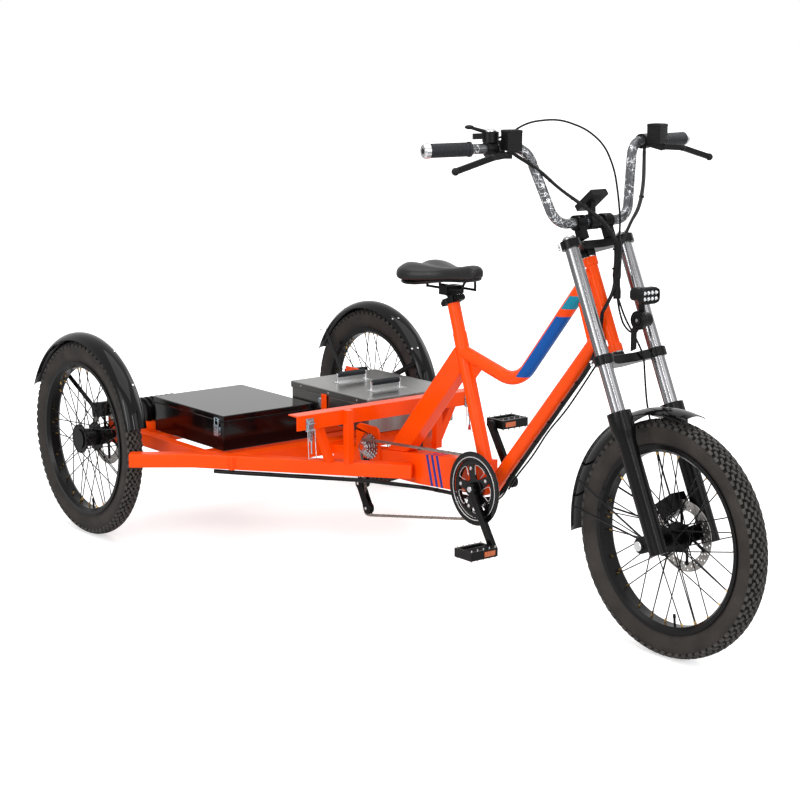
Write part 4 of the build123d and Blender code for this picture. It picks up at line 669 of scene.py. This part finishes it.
bar(bm, levers[1][1] + UP * 0.010, levers[1][1] - UP * 0.006, 0.0034, 0.0050)
settle("latch_red_tip", bm, red_grip, "frame", edge=0.0006)

# Chainring: a glossy black ring guard and five-armed spider round a black toothed ring.
# A thin silver line trims the guard and the windows, and five silver bolts hold the ring.
dress("cranks derailleur drive_motor front_caliper rear_calipers", satin_black, 0.0012)
ring_steel = finish("silver chainring alloy", (0.60, 0.60, 0.61), 0.22, metal=1.0, grain=300,
                    relief=0.04, tone=0.08)
ring_at = Vector((0.282, 0, 0.300))
chain_line = -0.048
arm_angles = [104 + 72 * index for index in range(5)]


def toothed(bm, centre, radius, thickness, teeth, tooth=0.0042):
    """A sprocket: a plain ring with small blunt teeth round its edge."""
    flat_ring(bm, centre, thickness / 2, radius * 0.82, radius, teeth * 2)
    for index in range(teeth):
        turn = Matrix.Rotation(math.tau * index / teeth, 3, "Y")
        outward = turn @ UP
        for v in block(bm, centre + outward * (radius + tooth / 2 - 0.0004),
                       (0.0056, thickness * 0.8, tooth), turn):
            if (v.co - centre).xz.length > radius + tooth * 0.5:
                v.co = v.co.lerp(centre + outward * (v.co - centre).dot(outward), 0.55)


bm = bmesh.new()
toothed(bm, ring_at + LEFT * chain_line, 0.0815, 0.0026, 42)
settle("chainring_teeth", bm, satin_black, "crank", ["chainring"], 30)
bm = bmesh.new()
turned_ring(bm, ring_at, [(-0.0568, 0.0800), (-0.0568, 0.1005), (-0.0585, 0.1010),
                          (-0.0600, 0.1000), (-0.0600, 0.0850), (-0.0590, 0.0835),
                          (-0.0590, 0.0800)])
turned_ring(bm, ring_at, [(-0.0500, 0.0655), (-0.0500, 0.0800), (-0.0565, 0.0800),
                          (-0.0575, 0.0785), (-0.0575, 0.0670), (-0.0565, 0.0655)])
turned_ring(bm, ring_at, [(-0.0470, 0.0102), (-0.0470, 0.0250), (-0.0560, 0.0290),
                          (-0.0585, 0.0270), (-0.0585, 0.0102)], 48)
for degrees in arm_angles:
    turn = Matrix.Rotation(math.pi / 2 - math.radians(degrees), 3, "Y")
    arm = turn @ UP
    for v in block(bm, ring_at - LEFT * 0.0545 + arm * 0.046, (0.027, 0.0050, 0.048), turn):
        reach = (v.co - ring_at).dot(arm)
        if reach > 0.05:
            arm_middle = ring_at + arm * reach + LEFT * v.co.y
            v.co = arm_middle + (v.co - arm_middle) * 0.72
bmesh.ops.recalc_face_normals(bm, faces=bm.faces)
settle("chainring_spider", bm, gloss_black, "crank", edge=0.0006)
bm = bmesh.new()
for degrees in arm_angles:
    screw(bm, around(ring_at, 0.055, math.radians(degrees), -0.0570), -LEFT, 0.0050, 0.0022)
turned_ring(bm, ring_at, [(-0.0592, 0.0842), (-0.0592, 0.0874), (-0.0607, 0.0870),
                          (-0.0607, 0.0846)])
for start, end in ((-0.0740, -0.0765), (0.0850, 0.0875)):
    bar(bm, ring_at + LEFT * start, ring_at + LEFT * end, 0.0085, 0.0075)
settle("chainring_bolts", bm, ring_steel, "crank", edge=0.0003)
# radius and degrees past an arm, round the outer edge of each window
window = ((0.0400, 22), (0.0560, 18), (0.0640, 18), (0.0668, 24), (0.0672, 36), (0.0668, 48),
          (0.0640, 54), (0.0560, 54), (0.0400, 50))
wire("chainring_trim", [[around(ring_at, radius, math.radians(degrees + past), -0.0578)
                         for radius, past in window] for degrees in arm_angles],
     0.0009, ring_steel, "crank")

# Cassette and changer: six steel sprockets on the jackshaft, and two black jockey wheels.
# Each jockey wheel turns on a bright bolt in the changer's cage.
chain_pitch = 0.0127
largest, smallest = 0.040, 0.018
bm = bmesh.new()
for index in range(6):
    radius = largest + (smallest - largest) * index / 5 - 0.004
    toothed(bm, Vector((-0.215, -0.03425 - 0.005 * index, 0.327)), radius, 0.0020,
            round(math.tau * (radius + 0.003) / chain_pitch), 0.0040)
flat_ring(bm, Vector((-0.215, chain_line, 0.327)), 0.015, 0.0085, 0.0145, 24)
bmesh.ops.recalc_face_normals(bm, faces=bm.faces)
settle("cassette_rings", bm, ring_steel, "frame", ["cassette"], 30)
jockeys = [ahead_of_axle(ahead, up, chain_line * 1000) for ahead, up in ((712, -80), (750, -147))]
bm = bmesh.new()
for spot in jockeys:
    toothed(bm, spot, 0.0175, 0.0026, 11, 0.0046)
bmesh.ops.recalc_face_normals(bm, faces=bm.faces)
settle("jockey_wheels", bm, satin_black, "frame", soft_angle=30)
bm = bmesh.new()
for spot in jockeys:
    screw(bm, spot - LEFT * 0.0080, -LEFT, 0.0048, 0.0030)
settle("jockey_bolts", bm, bright_steel, "frame")

# Chain: oiled steel, built link by link along the run that the drawn chain takes.
# Inner and outer plates take turns, and every pin has its roller.
chain_steel = finish("oiled chain steel", (0.30, 0.27, 0.24), 0.36, metal=1.0, grain=400,
                     relief=0.08, tone=0.3, tone_scale=200)
# each wheel's place ahead and up, and its pitch radius, negative where the chain bends back
chain_wheels = [(Vector((0.282, 0.300)), 0.085), (Vector((-0.215, 0.327)), 0.022),
                (Vector((-0.238, 0.215)), -0.021), (Vector((-0.200, 0.148)), 0.021)]


def touching(first, first_radius, second, second_radius):
    """Where a straight chain run leaves one wheel and meets the next."""
    gap = second - first
    run = gap.normalized()
    share = (first_radius - second_radius) / gap.length
    normal = run * share + Vector((run.y, -run.x)) * math.sqrt(1 - share ** 2)
    return first + normal * first_radius, second + normal * second_radius


track = []
for index, (middle, radius) in enumerate(chain_wheels):
    arrive = touching(*chain_wheels[index - 1], middle, radius)[1] - middle
    leave = touching(middle, radius, *chain_wheels[(index + 1) % 4])[0] - middle
    start = math.atan2(arrive.y, arrive.x)
    sign = 1 if radius > 0 else -1
    sweep = (math.atan2(leave.y, leave.x) - start) * sign % math.tau
    steps = max(4, int(sweep * abs(radius) / 0.002))
    for step in range(steps + 1):
        angle = start + sign * sweep * step / steps
        track.append(middle + Vector((math.cos(angle), math.sin(angle))) * abs(radius))
lengths = [0.0]
for here, onward in zip(track, track[1:] + track[:1]):
    lengths.append(lengths[-1] + (onward - here).length)
links_in_chain = round(lengths[-1] / chain_pitch / 2) * 2
pins = []
for number in range(links_in_chain):
    goal = lengths[-1] * number / links_in_chain
    place = next(i for i in range(len(track)) if lengths[i + 1] >= goal)
    share = (goal - lengths[place]) / max(1e-9, lengths[place + 1] - lengths[place])
    spot = track[place].lerp(track[(place + 1) % len(track)], share)
    pins.append(Vector((spot.x, chain_line, spot.y)))
bm = bmesh.new()
for number, (here, onward) in enumerate(zip(pins, pins[1:] + pins[:1])):
    for half, radius, sides in ((0.0038, 0.0017, 6), (0.0016, 0.0037, 8)):
        bar(bm, here - LEFT * half, here + LEFT * half, radius, sides=sides)
    link_turn = (onward - here).to_track_quat("X", "Z").to_matrix().to_4x4()
    for shift in (-1, 1):
        plate = Matrix.Rotation(math.pi / 2, 4, "X") @ Matrix.Translation(
            (0, 0, shift * (0.0031 if number % 2 else 0.0021))) @ Matrix.Diagonal((2.15, 1, 1, 1))
        bmesh.ops.create_cone(bm, cap_ends=True, segments=10, radius1=0.0039, radius2=0.0039,
                              depth=0.0009, matrix=Matrix.Translation((here + onward) / 2)
                              @ link_turn @ plate)
settle("chain_links", bm, chain_steel, "frame", ["chain"], 40)

# Pedals: black caged bodies with steel studs and an amber reflector on each long side.
# The studs stand above and below the cage, and the reflectors sit in its outer half.
amber = finish("amber reflector", (0.55, 0.10, 0.005), 0.18, coat=0.8, grain=260, relief=0.5,
               tone=0.35, tone_scale=300)
mould_black = finish("moulded black plastic", (0.005, 0.005, 0.0054), 0.36, grain=1100,
                     relief=0.12, tone=0.12, shine=0.17)
cage_width = 0.092
dress("pedal_right pedal_left", mould_black, 0.0015)
for node, side in (("pedal_right", -1), ("pedal_left", 1)):
    low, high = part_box(node)
    middle = (low + high) / 2
    outer = low.y if side < 0 else high.y
    bm = bmesh.new()
    for end in (-1, 1):
        for share in (0.06, 0.28, 0.50, 0.72, 0.94):
            for level in (-1, 1):
                spot = Vector((middle.x + end * 0.0295, outer - side * cage_width * share,
                               middle.z + level * 0.0115))
                bar(bm, spot, spot + UP * level * 0.0058, 0.0020, 0.0013, 8)
    settle(node + "_studs", bm, bright_steel, body_of_node[node])
    bm = bmesh.new()
    for end in (-1, 1):
        block(bm, (middle.x + end * 0.0343, outer - side * 0.064, middle.z),
              (0.0030, 0.036, 0.0135))
    settle(node + "_reflectors", bm, amber, body_of_node[node], edge=0.0006)

# Handlebar: bright alloy still wrapped in crinkled clear film, with ribbed rubber grips.
# Each grip ends in a bright clamping collar, and the bar's end is plugged.
film_metal = finish("dark alloy under film with painted crease highlights", (0.095, 0.098, 0.105), 0.20, metal=0.6, grain=150,
                    relief=0.9, tone=0.4, tone_scale=40, gloss_spread=0.14)
tree = film_metal.node_tree
place = add_node(tree, "TexCoord").outputs["Object"]
bend = add_node(tree, "TexNoise", {"Vector": place, "Scale": 26})
folded = add_node(tree, "VectorMath", {0: bend.outputs["Color"], 1: (0.05, 0.05, 0.05), 2: place},
                  operation="MULTIPLY_ADD")
creases = add_node(tree, "TexVoronoi", {"Vector": folded.outputs["Vector"], "Scale": 85},
                   feature="DISTANCE_TO_EDGE")
patches = add_node(tree, "TexNoise", {"Vector": place, "Scale": 30, "Detail": 6})
# Pale lines along the film's creases, shown in patches, are painted highlights: light glinting off
# the crinkled film.
crease_highlight_lines = maths(tree, "LESS_THAN", creases.outputs["Distance"], 0.040)
highlight_patches = maths(tree, "GREATER_THAN", patches.outputs["Fac"], 0.50)
overpaint(film_metal, maths(tree, "MULTIPLY", crease_highlight_lines, highlight_patches), (0.72, 0.73, 0.75))
dress("handlebar", film_metal)
grip_length = 0.118
bar_end = 440


def bar_place(side, half):
    """A point on the swept end of the bar, at a distance from the centre plane."""
    share = (half - 180) / 260
    return on_fork(78.7 - 64.2 * share, side * half, 392 + 25.6 * share)


def bar_sweep(side):
    """The direction in which the swept end of the bar runs outward."""
    return (bar_place(side, bar_end) - bar_place(side, 180)).normalized()


for side, name in ((-1, "right"), (1, "left")):
    outer, sweep = bar_place(side, bar_end), bar_sweep(side)
    inner = outer - sweep * grip_length
    bm = bmesh.new()
    bar(bm, inner, outer - sweep * 0.010, 0.0160, sides=32)
    for index in range(25):
        spot = inner + sweep * (0.0100 + 0.0039 * index)
        bar(bm, spot - sweep * 0.0015, spot + sweep * 0.0015, 0.0171, sides=32)
    bar(bm, inner - sweep * 0.003, inner + sweep * 0.004, 0.0185, sides=32)
    settle(name + "_grip_sleeve", bm, grip_rubber, "steering",
           ["grips"] if side < 0 else (), 50, 0.0005, 1)
    bm = bmesh.new()
    bar(bm, outer - sweep * 0.0125, outer - sweep * 0.002, 0.0183, sides=32)
    bar(bm, outer - sweep * 0.002, outer + sweep * 0.003, 0.0183, 0.0150, 32)
    settle(name + "_grip_collar", bm, bright_steel, "steering")
    bm = bmesh.new()
    bar(bm, outer + sweep * 0.0026, outer + sweep * 0.0036, 0.0070, sides=24)
    settle(name + "_grip_hole", bm, mould_black, "steering")

# Brake levers: black levers with a square oil reservoir on each perch.
# Each reservoir has a ribbed lid under four small screws, and bright screws clamp the perch.
dress("brake_levers thumb_shifter display headlight horn", mould_black, 0.001)
lid_half = 0.0165
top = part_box("brake_levers")[1].z
right_sweep = bar_sweep(-1)
forward = UP.cross(right_sweep).normalized()
lid_middle = bar_place(-1, 236) + forward * 0.038
for side, name in ((-1, "right"), (1, "left")):
    mirrored = Vector((1, -side, 1))
    turn = Matrix.Rotation(math.atan2(right_sweep.y * -side, right_sweep.x), 3, "Z")
    lid_top = lid_middle * mirrored
    lid_top.z = top
    bm = bmesh.new()
    block(bm, lid_top - UP * 0.0045, (0.0396, 0.0396, 0.0045), turn)
    for index in range(6):
        block(bm, lid_top - UP * 0.0006 + turn @ AHEAD * ((index - 2.5) * 0.0056),
              (0.0026, 0.0290, 0.0024), turn)
    for index in range(5):
        block(bm, lid_top - UP * (0.012 + 0.0066 * index), (0.0388, 0.0388, 0.0022), turn)
    settle(name + "_reservoir_ribs", bm, mould_black, "steering", edge=0.0005)
    bm = bmesh.new()
    for x in (-lid_half, lid_half):
        for y in (-lid_half, lid_half):
            screw(bm, lid_top + turn @ Vector((x, y, -0.0022)), UP, 0.0021, 0.0014)
    screw(bm, on_fork(96, side * 266, 368) + UP * 0.0080, UP, 0.0048, 0.0025)
    behind = -forward * mirrored
    for shift in (-0.010, 0.010):
        screw(bm, bar_place(side, 236) + bar_sweep(side) * shift + behind * 0.0180, behind,
              0.0030, 0.0022)
    settle(name + "_lever_screws", bm, bright_steel, "steering")

# Thumb shifter: a black pod on the right of the bar, closed by a domed silver cap.
# A long rounded thumb lever comes out from under the cap towards the grip.
pod_top = bar_place(-1, 272) + UP * 0.040
cap_edge = pod_top + UP * 0.003
bm = bmesh.new()
bar(bm, pod_top, cap_edge, 0.0150, 0.0150, 32)
bar(bm, cap_edge, pod_top + UP * 0.007, 0.0150, 0.0080, 32)
settle("shifter_cap", bm, ring_steel, "steering", edge=0.0006)
bm = bmesh.new()
lever_end = pod_top + right_sweep * 0.052 + Vector((-0.006, 0, 0.012))
bar(bm, pod_top - UP * 0.004, lever_end, 0.0052, 0.0040, 12)
bmesh.ops.create_uvsphere(bm, u_segments=20, v_segments=12, radius=0.010,
                          matrix=Matrix.Translation(lever_end)
                          @ Matrix.Diagonal((1.25, 1.1, 0.55, 1)))
settle("shifter_lever", bm, mould_black, "steering", edge=0.0004)

# Display: a dark glass face set in a tilted black housing over the bar clamp.
# Three soft rubber keys stand in a row below the glass.
tilt = math.radians(38)
face_ahead = Vector((math.cos(tilt), 0, math.sin(tilt)))
face_up = Vector((-math.sin(tilt), 0, math.cos(tilt)))
display_turn = Matrix.Rotation(-tilt, 3, "Y")
display_middle = on_fork(62, 0, 252)
dark_glass = finish("dark display glass", (0.010, 0.013, 0.018), 0.06, coat=0.4, grain=50,
                    relief=0.0, shine=0.4)
bm = bmesh.new()
block(bm, display_middle + face_up * 0.0082 + face_ahead * 0.004, (0.054, 0.044, 0.0010),
      display_turn)
settle("display_glass", bm, dark_glass, "steering", edge=0.0003)
bm = bmesh.new()
for side in (-0.013, 0, 0.013):
    block(bm, display_middle + face_up * 0.0084 - face_ahead * 0.0295 + LEFT * side,
          (0.0060, 0.0095, 0.0016), display_turn)
settle("display_keys", bm, grip_rubber, "steering", edge=0.0005)

# Headlight: two rows of silvered reflector cups, each with a clear lens in its middle.
# A raised black rim with round corners frames them.
lamp_at = Vector((0.863, 0, 0.879))
cup_places = [lamp_at + Vector((0, side, up)) for side in (-0.0195, -0.0065, 0.0065, 0.0195)
              for up in (-0.0075, 0.0075)]
rim_half, rim_tall, rim_depth, corner_power = 0.0295, 0.0190, 0.0028, 0.45
clear_lens = finish("clear lens", (0.75, 0.77, 0.79), 0.05, coat=0.5, grain=60, relief=0.02)
cup_silver = finish("silvered reflector cups", (0.72, 0.73, 0.75), 0.12, metal=1.0, grain=200,
                    relief=0.10, tone=0.25, tone_scale=150)
bm = bmesh.new()
for spot in cup_places:
    bmesh.ops.create_cone(bm, cap_ends=True, segments=16, radius1=0.0062, radius2=0.0028,
                          depth=0.0022, matrix=Matrix.Translation(spot + AHEAD * 0.0004)
                          @ Matrix.Rotation(math.pi / 2, 4, "Y"))
settle("lamp_cups", bm, cup_silver, "steering", soft_angle=20)
bm = bmesh.new()
for spot in cup_places:
    bmesh.ops.create_uvsphere(bm, u_segments=12, v_segments=8, radius=0.0026,
                              matrix=Matrix.Translation(spot + AHEAD * 0.0014))
settle("lamp_diodes", bm, clear_lens, "steering")
bm = bmesh.new()
outline = bmesh.ops.create_circle(bm, cap_ends=False, segments=48, radius=1.0)["verts"]
for v in outline:
    angle = math.atan2(v.co.y, v.co.x)
    across, tall = (math.copysign(abs(share) ** corner_power, share)
                    for share in (math.cos(angle), math.sin(angle)))
    v.co = lamp_at + Vector((0.0002, across * rim_half, tall * rim_tall))
rim = list({e for v in outline for e in v.link_edges})
# how far each step of the rim goes ahead, and how it draws in sideways and in height
for ahead, inward, lower in ((rim_depth, 0.97, 0.97), (0, 0.90, 0.86), (-rim_depth, 1, 1)):
    grown = bmesh.ops.extrude_edge_only(bm, edges=rim)["geom"]
    rim = [g for g in grown if isinstance(g, bmesh.types.BMEdge)]
    for v in (g for g in grown if isinstance(g, bmesh.types.BMVert)):
        from_middle = v.co - lamp_at
        v.co = lamp_at + Vector((from_middle.x + ahead, from_middle.y * inward,
                                 from_middle.z * lower))
bmesh.ops.recalc_face_normals(bm, faces=bm.faces)
settle("lamp_rim", bm, mould_black, "steering", edge=0.0003)

# Horn: a black pressed disc under the headlight, with raised rings.
# A small bright nut stands in its middle.
horn_at = Vector((0.829, -0.010, 0.816))
bm = bmesh.new()
for outer_radius, inner_radius, rise in ((0.0215, 0.0190, 0.0016), (0.0130, 0.0105, 0.0014)):
    turned_ring(bm, horn_at, [(0.0002, inner_radius), (-rise, inner_radius + 0.0006),
                              (-rise, outer_radius - 0.0006), (0.0002, outer_radius)], 48)
bmesh.ops.recalc_face_normals(bm, faces=bm.faces)
settle("horn_rings", bm, gloss_black, "steering")
bm = bmesh.new()
bar(bm, horn_at, horn_at - LEFT * 0.0030, 0.0042, sides=6)
settle("horn_nut", bm, bright_steel, "steering", edge=0.0003)

# Saddle: a moulded foam pad under a soft leatherette cover, on a hard black base.
# The pad crowns over the rear, dips along its middle and narrows to the nose.
cover = finish("black leatherette", (0.007, 0.007, 0.0075), 0.34, grain=1400, relief=0.25,
               tone=0.12, shine=0.3)


def shell_of_rings(rings, channel=0.0, pads=0.0, sides=32):
    """A rounded shell bridged through rings: place along, half width, top and underside."""
    bm = bmesh.new()
    loops = []
    for x, half, top, low in rings:
        made = bmesh.ops.create_circle(
            bm, cap_ends=False, segments=sides, radius=1.0,
            matrix=Matrix.Translation((x, 0, 0)) @ Matrix.Rotation(math.pi / 2, 4, "Y"))
        rear = min(1, max(0, (0.130 - x) / 0.100))
        hollow = min(1, max(0, (0.190 - x) / 0.060))
        middle = low + (top - low) * 0.42
        for v in made["verts"]:
            y, z = v.co.y, v.co.z
            v.co.y = half * math.copysign(abs(y) ** 0.78, y)
            if z > 0:
                share = abs(v.co.y) / half
                v.co.z = middle + (top - middle) * z ** 0.62 \
                    + pads * rear * math.exp(-((share - 0.52) / 0.26) ** 2) \
                    - channel * hollow * math.exp(-(v.co.y / 0.011) ** 2)
            else:
                v.co.z = middle - (middle - low) * abs(z) ** 0.55
        loops.append(list({e for v in made["verts"] for e in v.link_edges}))
    for first, second in zip(loops, loops[1:]):
        bmesh.ops.bridge_loops(bm, edges=first + second)
    for loop in (loops[0], loops[-1]):
        bmesh.ops.contextual_create(bm, geom=loop)
    bmesh.ops.recalc_face_normals(bm, faces=bm.faces)
    return bm


def rounded(piece, levels):
    """Round a coarse piece by subdivision, alike in the view and the render."""
    smoothing = piece.modifiers.new("rounded", "SUBSURF")
    smoothing.levels = smoothing.render_levels = levels


saddle_rings = [(0.2300, 0.0080, 0.8760, 0.8640), (0.2270, 0.0170, 0.8830, 0.8560),
                (0.2150, 0.0220, 0.8890, 0.8500), (0.1950, 0.0245, 0.8890, 0.8460),
                (0.1650, 0.0270, 0.8840, 0.8430), (0.1300, 0.0310, 0.8785, 0.8410),
                (0.0950, 0.0440, 0.8745, 0.8380), (0.0650, 0.0660, 0.8740, 0.8350),
                (0.0350, 0.0850, 0.8760, 0.8320), (0.0050, 0.0940, 0.8785, 0.8300),
                (-0.0180, 0.0900, 0.8780, 0.8310), (-0.0340, 0.0760, 0.8740, 0.8340),
                (-0.0415, 0.0520, 0.8665, 0.8410), (-0.0430, 0.0300, 0.8590, 0.8480)]
saddle_pad = settle("saddle_pad", shell_of_rings(saddle_rings, channel=0.007, pads=0.006), cover,
                    "frame", ["saddle"], 180)
rounded(saddle_pad, 2)
base_rings = [(x, half * 0.80, low + 0.006, low - 0.004 - 0.006 * (x < 0.06))
              for x, half, top, low in saddle_rings[1:-1]]
rounded(settle("saddle_base", shell_of_rings(base_rings), mould_black, "frame",
               soft_angle=180), 1)

# Seat post: a black post clamped in the seat tube, with two steel rails under the saddle.
# Bright and black socket screws draw up the clamps at its top and at the tube.
dress("seat_post", satin_black, 0.001)
slope = Matrix.Rotation(-math.atan2(-seat_line.x, seat_line.z), 3, "Y")
clamp_half = 0.013
bm = bmesh.new()
for ahead, up in ((-0.027, 0.006), (0.027, 0.010)):
    block(bm, seat_top + seat_front * ahead + seat_line * up, (0.020, 0.026, 0.015), slope)
    for side in (-1, 1):
        screw(bm, seat_top + seat_front * ahead * 1.1 + seat_line * up + LEFT * side * clamp_half,
              LEFT * side, 0.0052, 0.0040)
block(bm, seat_top + seat_line * 0.009, (0.046, 0.040, 0.015), slope)
settle("seat_clamp", bm, satin_black, "frame", edge=0.0012)
wire("saddle_rail_ends", [[Vector((0.1856, side * 0.022, 0.820)),
                           Vector((0.1870, side * 0.021, 0.834)),
                           Vector((0.1930, side * 0.014, 0.850))] for side in (-1, 1)],
     0.0035, satin_black, "frame")
bm = bmesh.new()
post_low, post_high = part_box("seat_post")
for side in (-1, 1):
    screw(bm, Vector(((post_low.x + post_high.x) / 2, side * 0.014, 0.8020)), LEFT * side,
          0.0040, 0.0030)
settle("saddle_clamp_screws", bm, bright_steel, "frame")

# Cables: black sheathed cables gathered in bundles along the bar, the fork and the frame.
# Thin strands and nylon ties lie over the drawn bundles, whose ends run on to their levers.
# One short cable crosses from the frame to the fork.
sheath = finish("black cable sheath", (0.004, 0.004, 0.004), 0.32, grain=500, relief=0.15,
                tone=0.15, shine=0.17)
dress("bar_cables frame_cables", sheath)
random.seed(7)


def strands(lines, spread, radius, name, body):
    """Thin wires that wander a little along a bundle, half sunk into it."""
    drawn = []
    for points, count in lines:
        for number in range(count):
            turn = math.tau * (number + random.random() * 0.5) / count
            strand = []
            for index, point in enumerate(points):
                onward = points[min(index + 1, len(points) - 1)] - points[max(index - 1, 0)]
                turn += random.uniform(-0.5, 0.5)
                strand.append(point + onward.to_track_quat("Z", "Y").to_matrix() @ Vector(
                    (math.cos(turn) * spread, math.sin(turn) * spread, 0)))
            drawn.append(strand)
    wire(name, drawn, radius, sheath, body, sides=8)


def tie(bm, first, second, share, radius):
    """A nylon tie round a stretch of cable: a thin band with its square head."""
    spot, run = first.lerp(second, share), (second - first).normalized()
    bar(bm, spot - run * 0.0014, spot + run * 0.0014, radius, sides=20)
    turn = run.to_track_quat("Z", "Y").to_matrix()
    block(bm, spot + turn @ AHEAD * (radius + 0.0012), (0.0040, 0.0050, 0.0042), turn)


bundle = [ahead_of_axle(ahead, up, side) for ahead, side, up in (
    (1671, -27, 484), (1647, -20, 422), (1600, -6, 370), (1315, -2, 40), (1270, -6, -21),
    (1190, -10, -41), (1075, -11, -44), (965, -14, -50), (905, -62, -45), (838, -119, -38),
    (560, -344, -36), (482, -402, -36))]
bm = bmesh.new()
# the stretch of the bundle that each tie is on, and its share of that stretch
for index, share in ((2, 0.10), (2, 0.28), (2, 0.46), (2, 0.64), (2, 0.82), (2, 0.96), (5, 0.4),
                     (6, 0.5), (8, 0.5), (9, 0.2), (9, 0.5), (9, 0.8)):
    tie(bm, bundle[index], bundle[index + 1], share, 0.0064)
settle("frame_ties", bm, sheath, "frame")
fine = [bundle[0]]
for first, second in zip(bundle, bundle[1:]):
    parts = max(1, round((second - first).length / 0.06))
    fine += [first.lerp(second, (index + 1) / parts) for index in range(parts)]
strands([(fine, 4)], 0.0042, 0.0022, "frame_strands", "frame")
right_run, left_run, trunk_run, right_end, left_end = (
    [on_fork(*place) for place in places] for places in (
        ((72, -214, 376), (78, -158, 330), (82, -112, 278), (95, -62, 225), (106, -25, 178),
         (103, 4, 124)),
        ((76, 214, 366), (92, 158, 270), (104, 108, 210), (110, 60, 172), (98, 16, 118)),
        ((104, 8, 132), (93, 9.5, 112), (82, 11, 92), (70, 11.5, 70), (58, 12, 48),
         (49, 12, 25), (40, 12, 2)),
        ((74, -195, 360.5), (72, -214, 376), (70, -232, 389)),
        ((79, 204, 349), (76, 214, 366), (69, 236, 394))))
bm = bmesh.new()
for first, second, radius in ((right_run[1], right_run[2], 0.0049),
                              (right_run[2], right_run[3], 0.0049),
                              (left_run[1], left_run[2], 0.0049),
                              (trunk_run[0], trunk_run[2], 0.0097),
                              (trunk_run[2], trunk_run[4], 0.0097)):
    tie(bm, first, second, 0.5, radius)
settle("bar_ties", bm, sheath, "steering")
strands([(right_run, 3), (left_run, 2)], 0.0034, 0.0019, "bar_strands", "steering")
strands([(trunk_run, 5)], 0.0075, 0.0026, "trunk_strands", "steering")
wire("bar_bundle_ends", [right_end, left_end], 0.0042, sheath, "steering")
wire("shift_cable_end", [[on_fork(79, -202, 435.5), on_fork(66, -216, 430),
                          Vector((0.570, -0.238, 1.250)), Vector((0.578, -0.262, 1.248))]],
     0.0027, sheath, "steering")
wire("frame_wire_end", [[ahead_of_axle(ahead, up, side) for ahead, side, up in (
    (1614, 5.7, 375.5), (1622, 6, 386), (1631, -3, 399), (1640, -17, 413))]], 0.0027, sheath,
     "frame")
crossing_low, crossing_high = Vector((0.721, -0.027, 0.779)), Vector((0.7255, -0.027, 0.8242))
crossing = wire("crossing_cable", [[crossing_low.lerp(crossing_high, index / 8)
                                    for index in range(9)]],
                0.0048, sheath, None)
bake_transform(crossing)

# Room: a pale floor and backdrop, soft studio lamps and the photograph's camera.
# The floor glows more with distance, so that it runs out into the white background.
# Only rays from the camera, shiny faces and clear parts see that background as pure white.


def ray_mask(tree, *kinds):
    """One for rays of these kinds, nothing for all others."""
    path = add_node(tree, "LightPath").outputs
    mask = path[kinds[0]]
    for kind in kinds[1:]:
        mask = maths(tree, "MAXIMUM", mask, path[kind])
    return mask


bm = bmesh.new()
bmesh.ops.create_grid(bm, x_segments=1, y_segments=1, size=60)
floor = mesh_object("floor", bm)
floor_paint = bpy.data.materials.new("pale floor")
floor_paint.use_nodes = True
tree = floor_paint.node_tree
shade = tree.nodes["Principled BSDF"]
for key, value in (("Base Color", (0.86, 0.86, 0.86, 1)), ("Roughness", 0.9),
                   ("Specular IOR Level", 0.1)):
    shade.inputs[key].default_value = value
away = add_node(tree, "VectorMath", {0: add_node(tree, "TexCoord").outputs["Object"]},
                operation="LENGTH")
lift = add_node(tree, "MapRange", {"Value": away.outputs["Value"], "From Min": 1.1,
                                   "From Max": 3.6, "To Min": 0.50, "To Max": 1.0})
glow = add_node(tree, "Emission", {"Strength": lift.outputs["Result"]})
both = add_node(tree, "AddShader", {0: shade.outputs[0], 1: glow.outputs[0]})
choice = add_node(tree, "MixShader", {0: ray_mask(tree, "Is Camera Ray", "Is Transmission Ray"),
                                      1: shade.outputs[0], 2: both.outputs[0]})
tree.links.new(choice.outputs[0], tree.nodes["Material Output"].inputs["Surface"])
floor.data.materials.append(floor_paint)

world = bpy.data.worlds.new("studio")
bpy.context.scene.world = world
world.use_nodes = True
tree = world.node_tree
sky = tree.nodes["Background"]
sky.inputs["Color"].default_value = (1, 1, 1, 1)
sky.inputs["Strength"].default_value = 0.55
white = add_node(tree, "Background", {"Color": (1, 1, 1, 1), "Strength": 1.0})
rays = ray_mask(tree, "Is Camera Ray", "Is Transmission Ray", "Is Glossy Ray")
choice = add_node(tree, "MixShader", {0: rays, 1: sky.outputs[0], 2: white.outputs[0]})
tree.links.new(choice.outputs[0], tree.nodes["World Output"].inputs["Surface"])


def facing(made, place, target):
    """Put a lamp or camera at a place, turned to its target."""
    made.location = place
    made.rotation_euler = (Vector(target) - Vector(place)).to_track_quat("-Z", "Y").to_euler()


# each lamp's place, what it faces, its width and height in metres, and its power in watts
for name, place, target, size, power in (
        ("top", (0.3, -0.3, 3.6), (0, 0, 0.4), (3.4, 3.4), 75),
        ("right", (1.2, -4.2, 2.2), (0, 0, 0.5), (3.0, 2.2), 46),
        ("front", (4.6, 0.6, 2.2), (0.3, 0, 0.5), (2.4, 2.4), 34),
        ("left", (-0.5, 4.4, 2.4), (0, 0, 0.5), (3.0, 2.2), 40),
        ("near strip", (4.9, -2.1, 2.1), (0.2, 0, 0.6), (0.32, 2.6), 52),
        ("side strip", (0.9, -4.6, 1.7), (0.1, 0, 0.5), (0.32, 2.4), 30)):
    light = bpy.data.lights.new(name, "AREA")
    light.shape = "RECTANGLE"
    light.size, light.size_y = size
    light.energy = power
    facing(placed(name, light), place, target)

lens = bpy.data.cameras.new("camera")
lens.lens = 84.98
lens.sensor_width = 36
camera = placed("camera", lens)
facing(camera, (4.033, -3.244, 1.504), (-0.1141, 0, 0.4738))
bpy.context.scene.camera = camera
bpy.context.scene.view_settings.view_transform = "Standard"
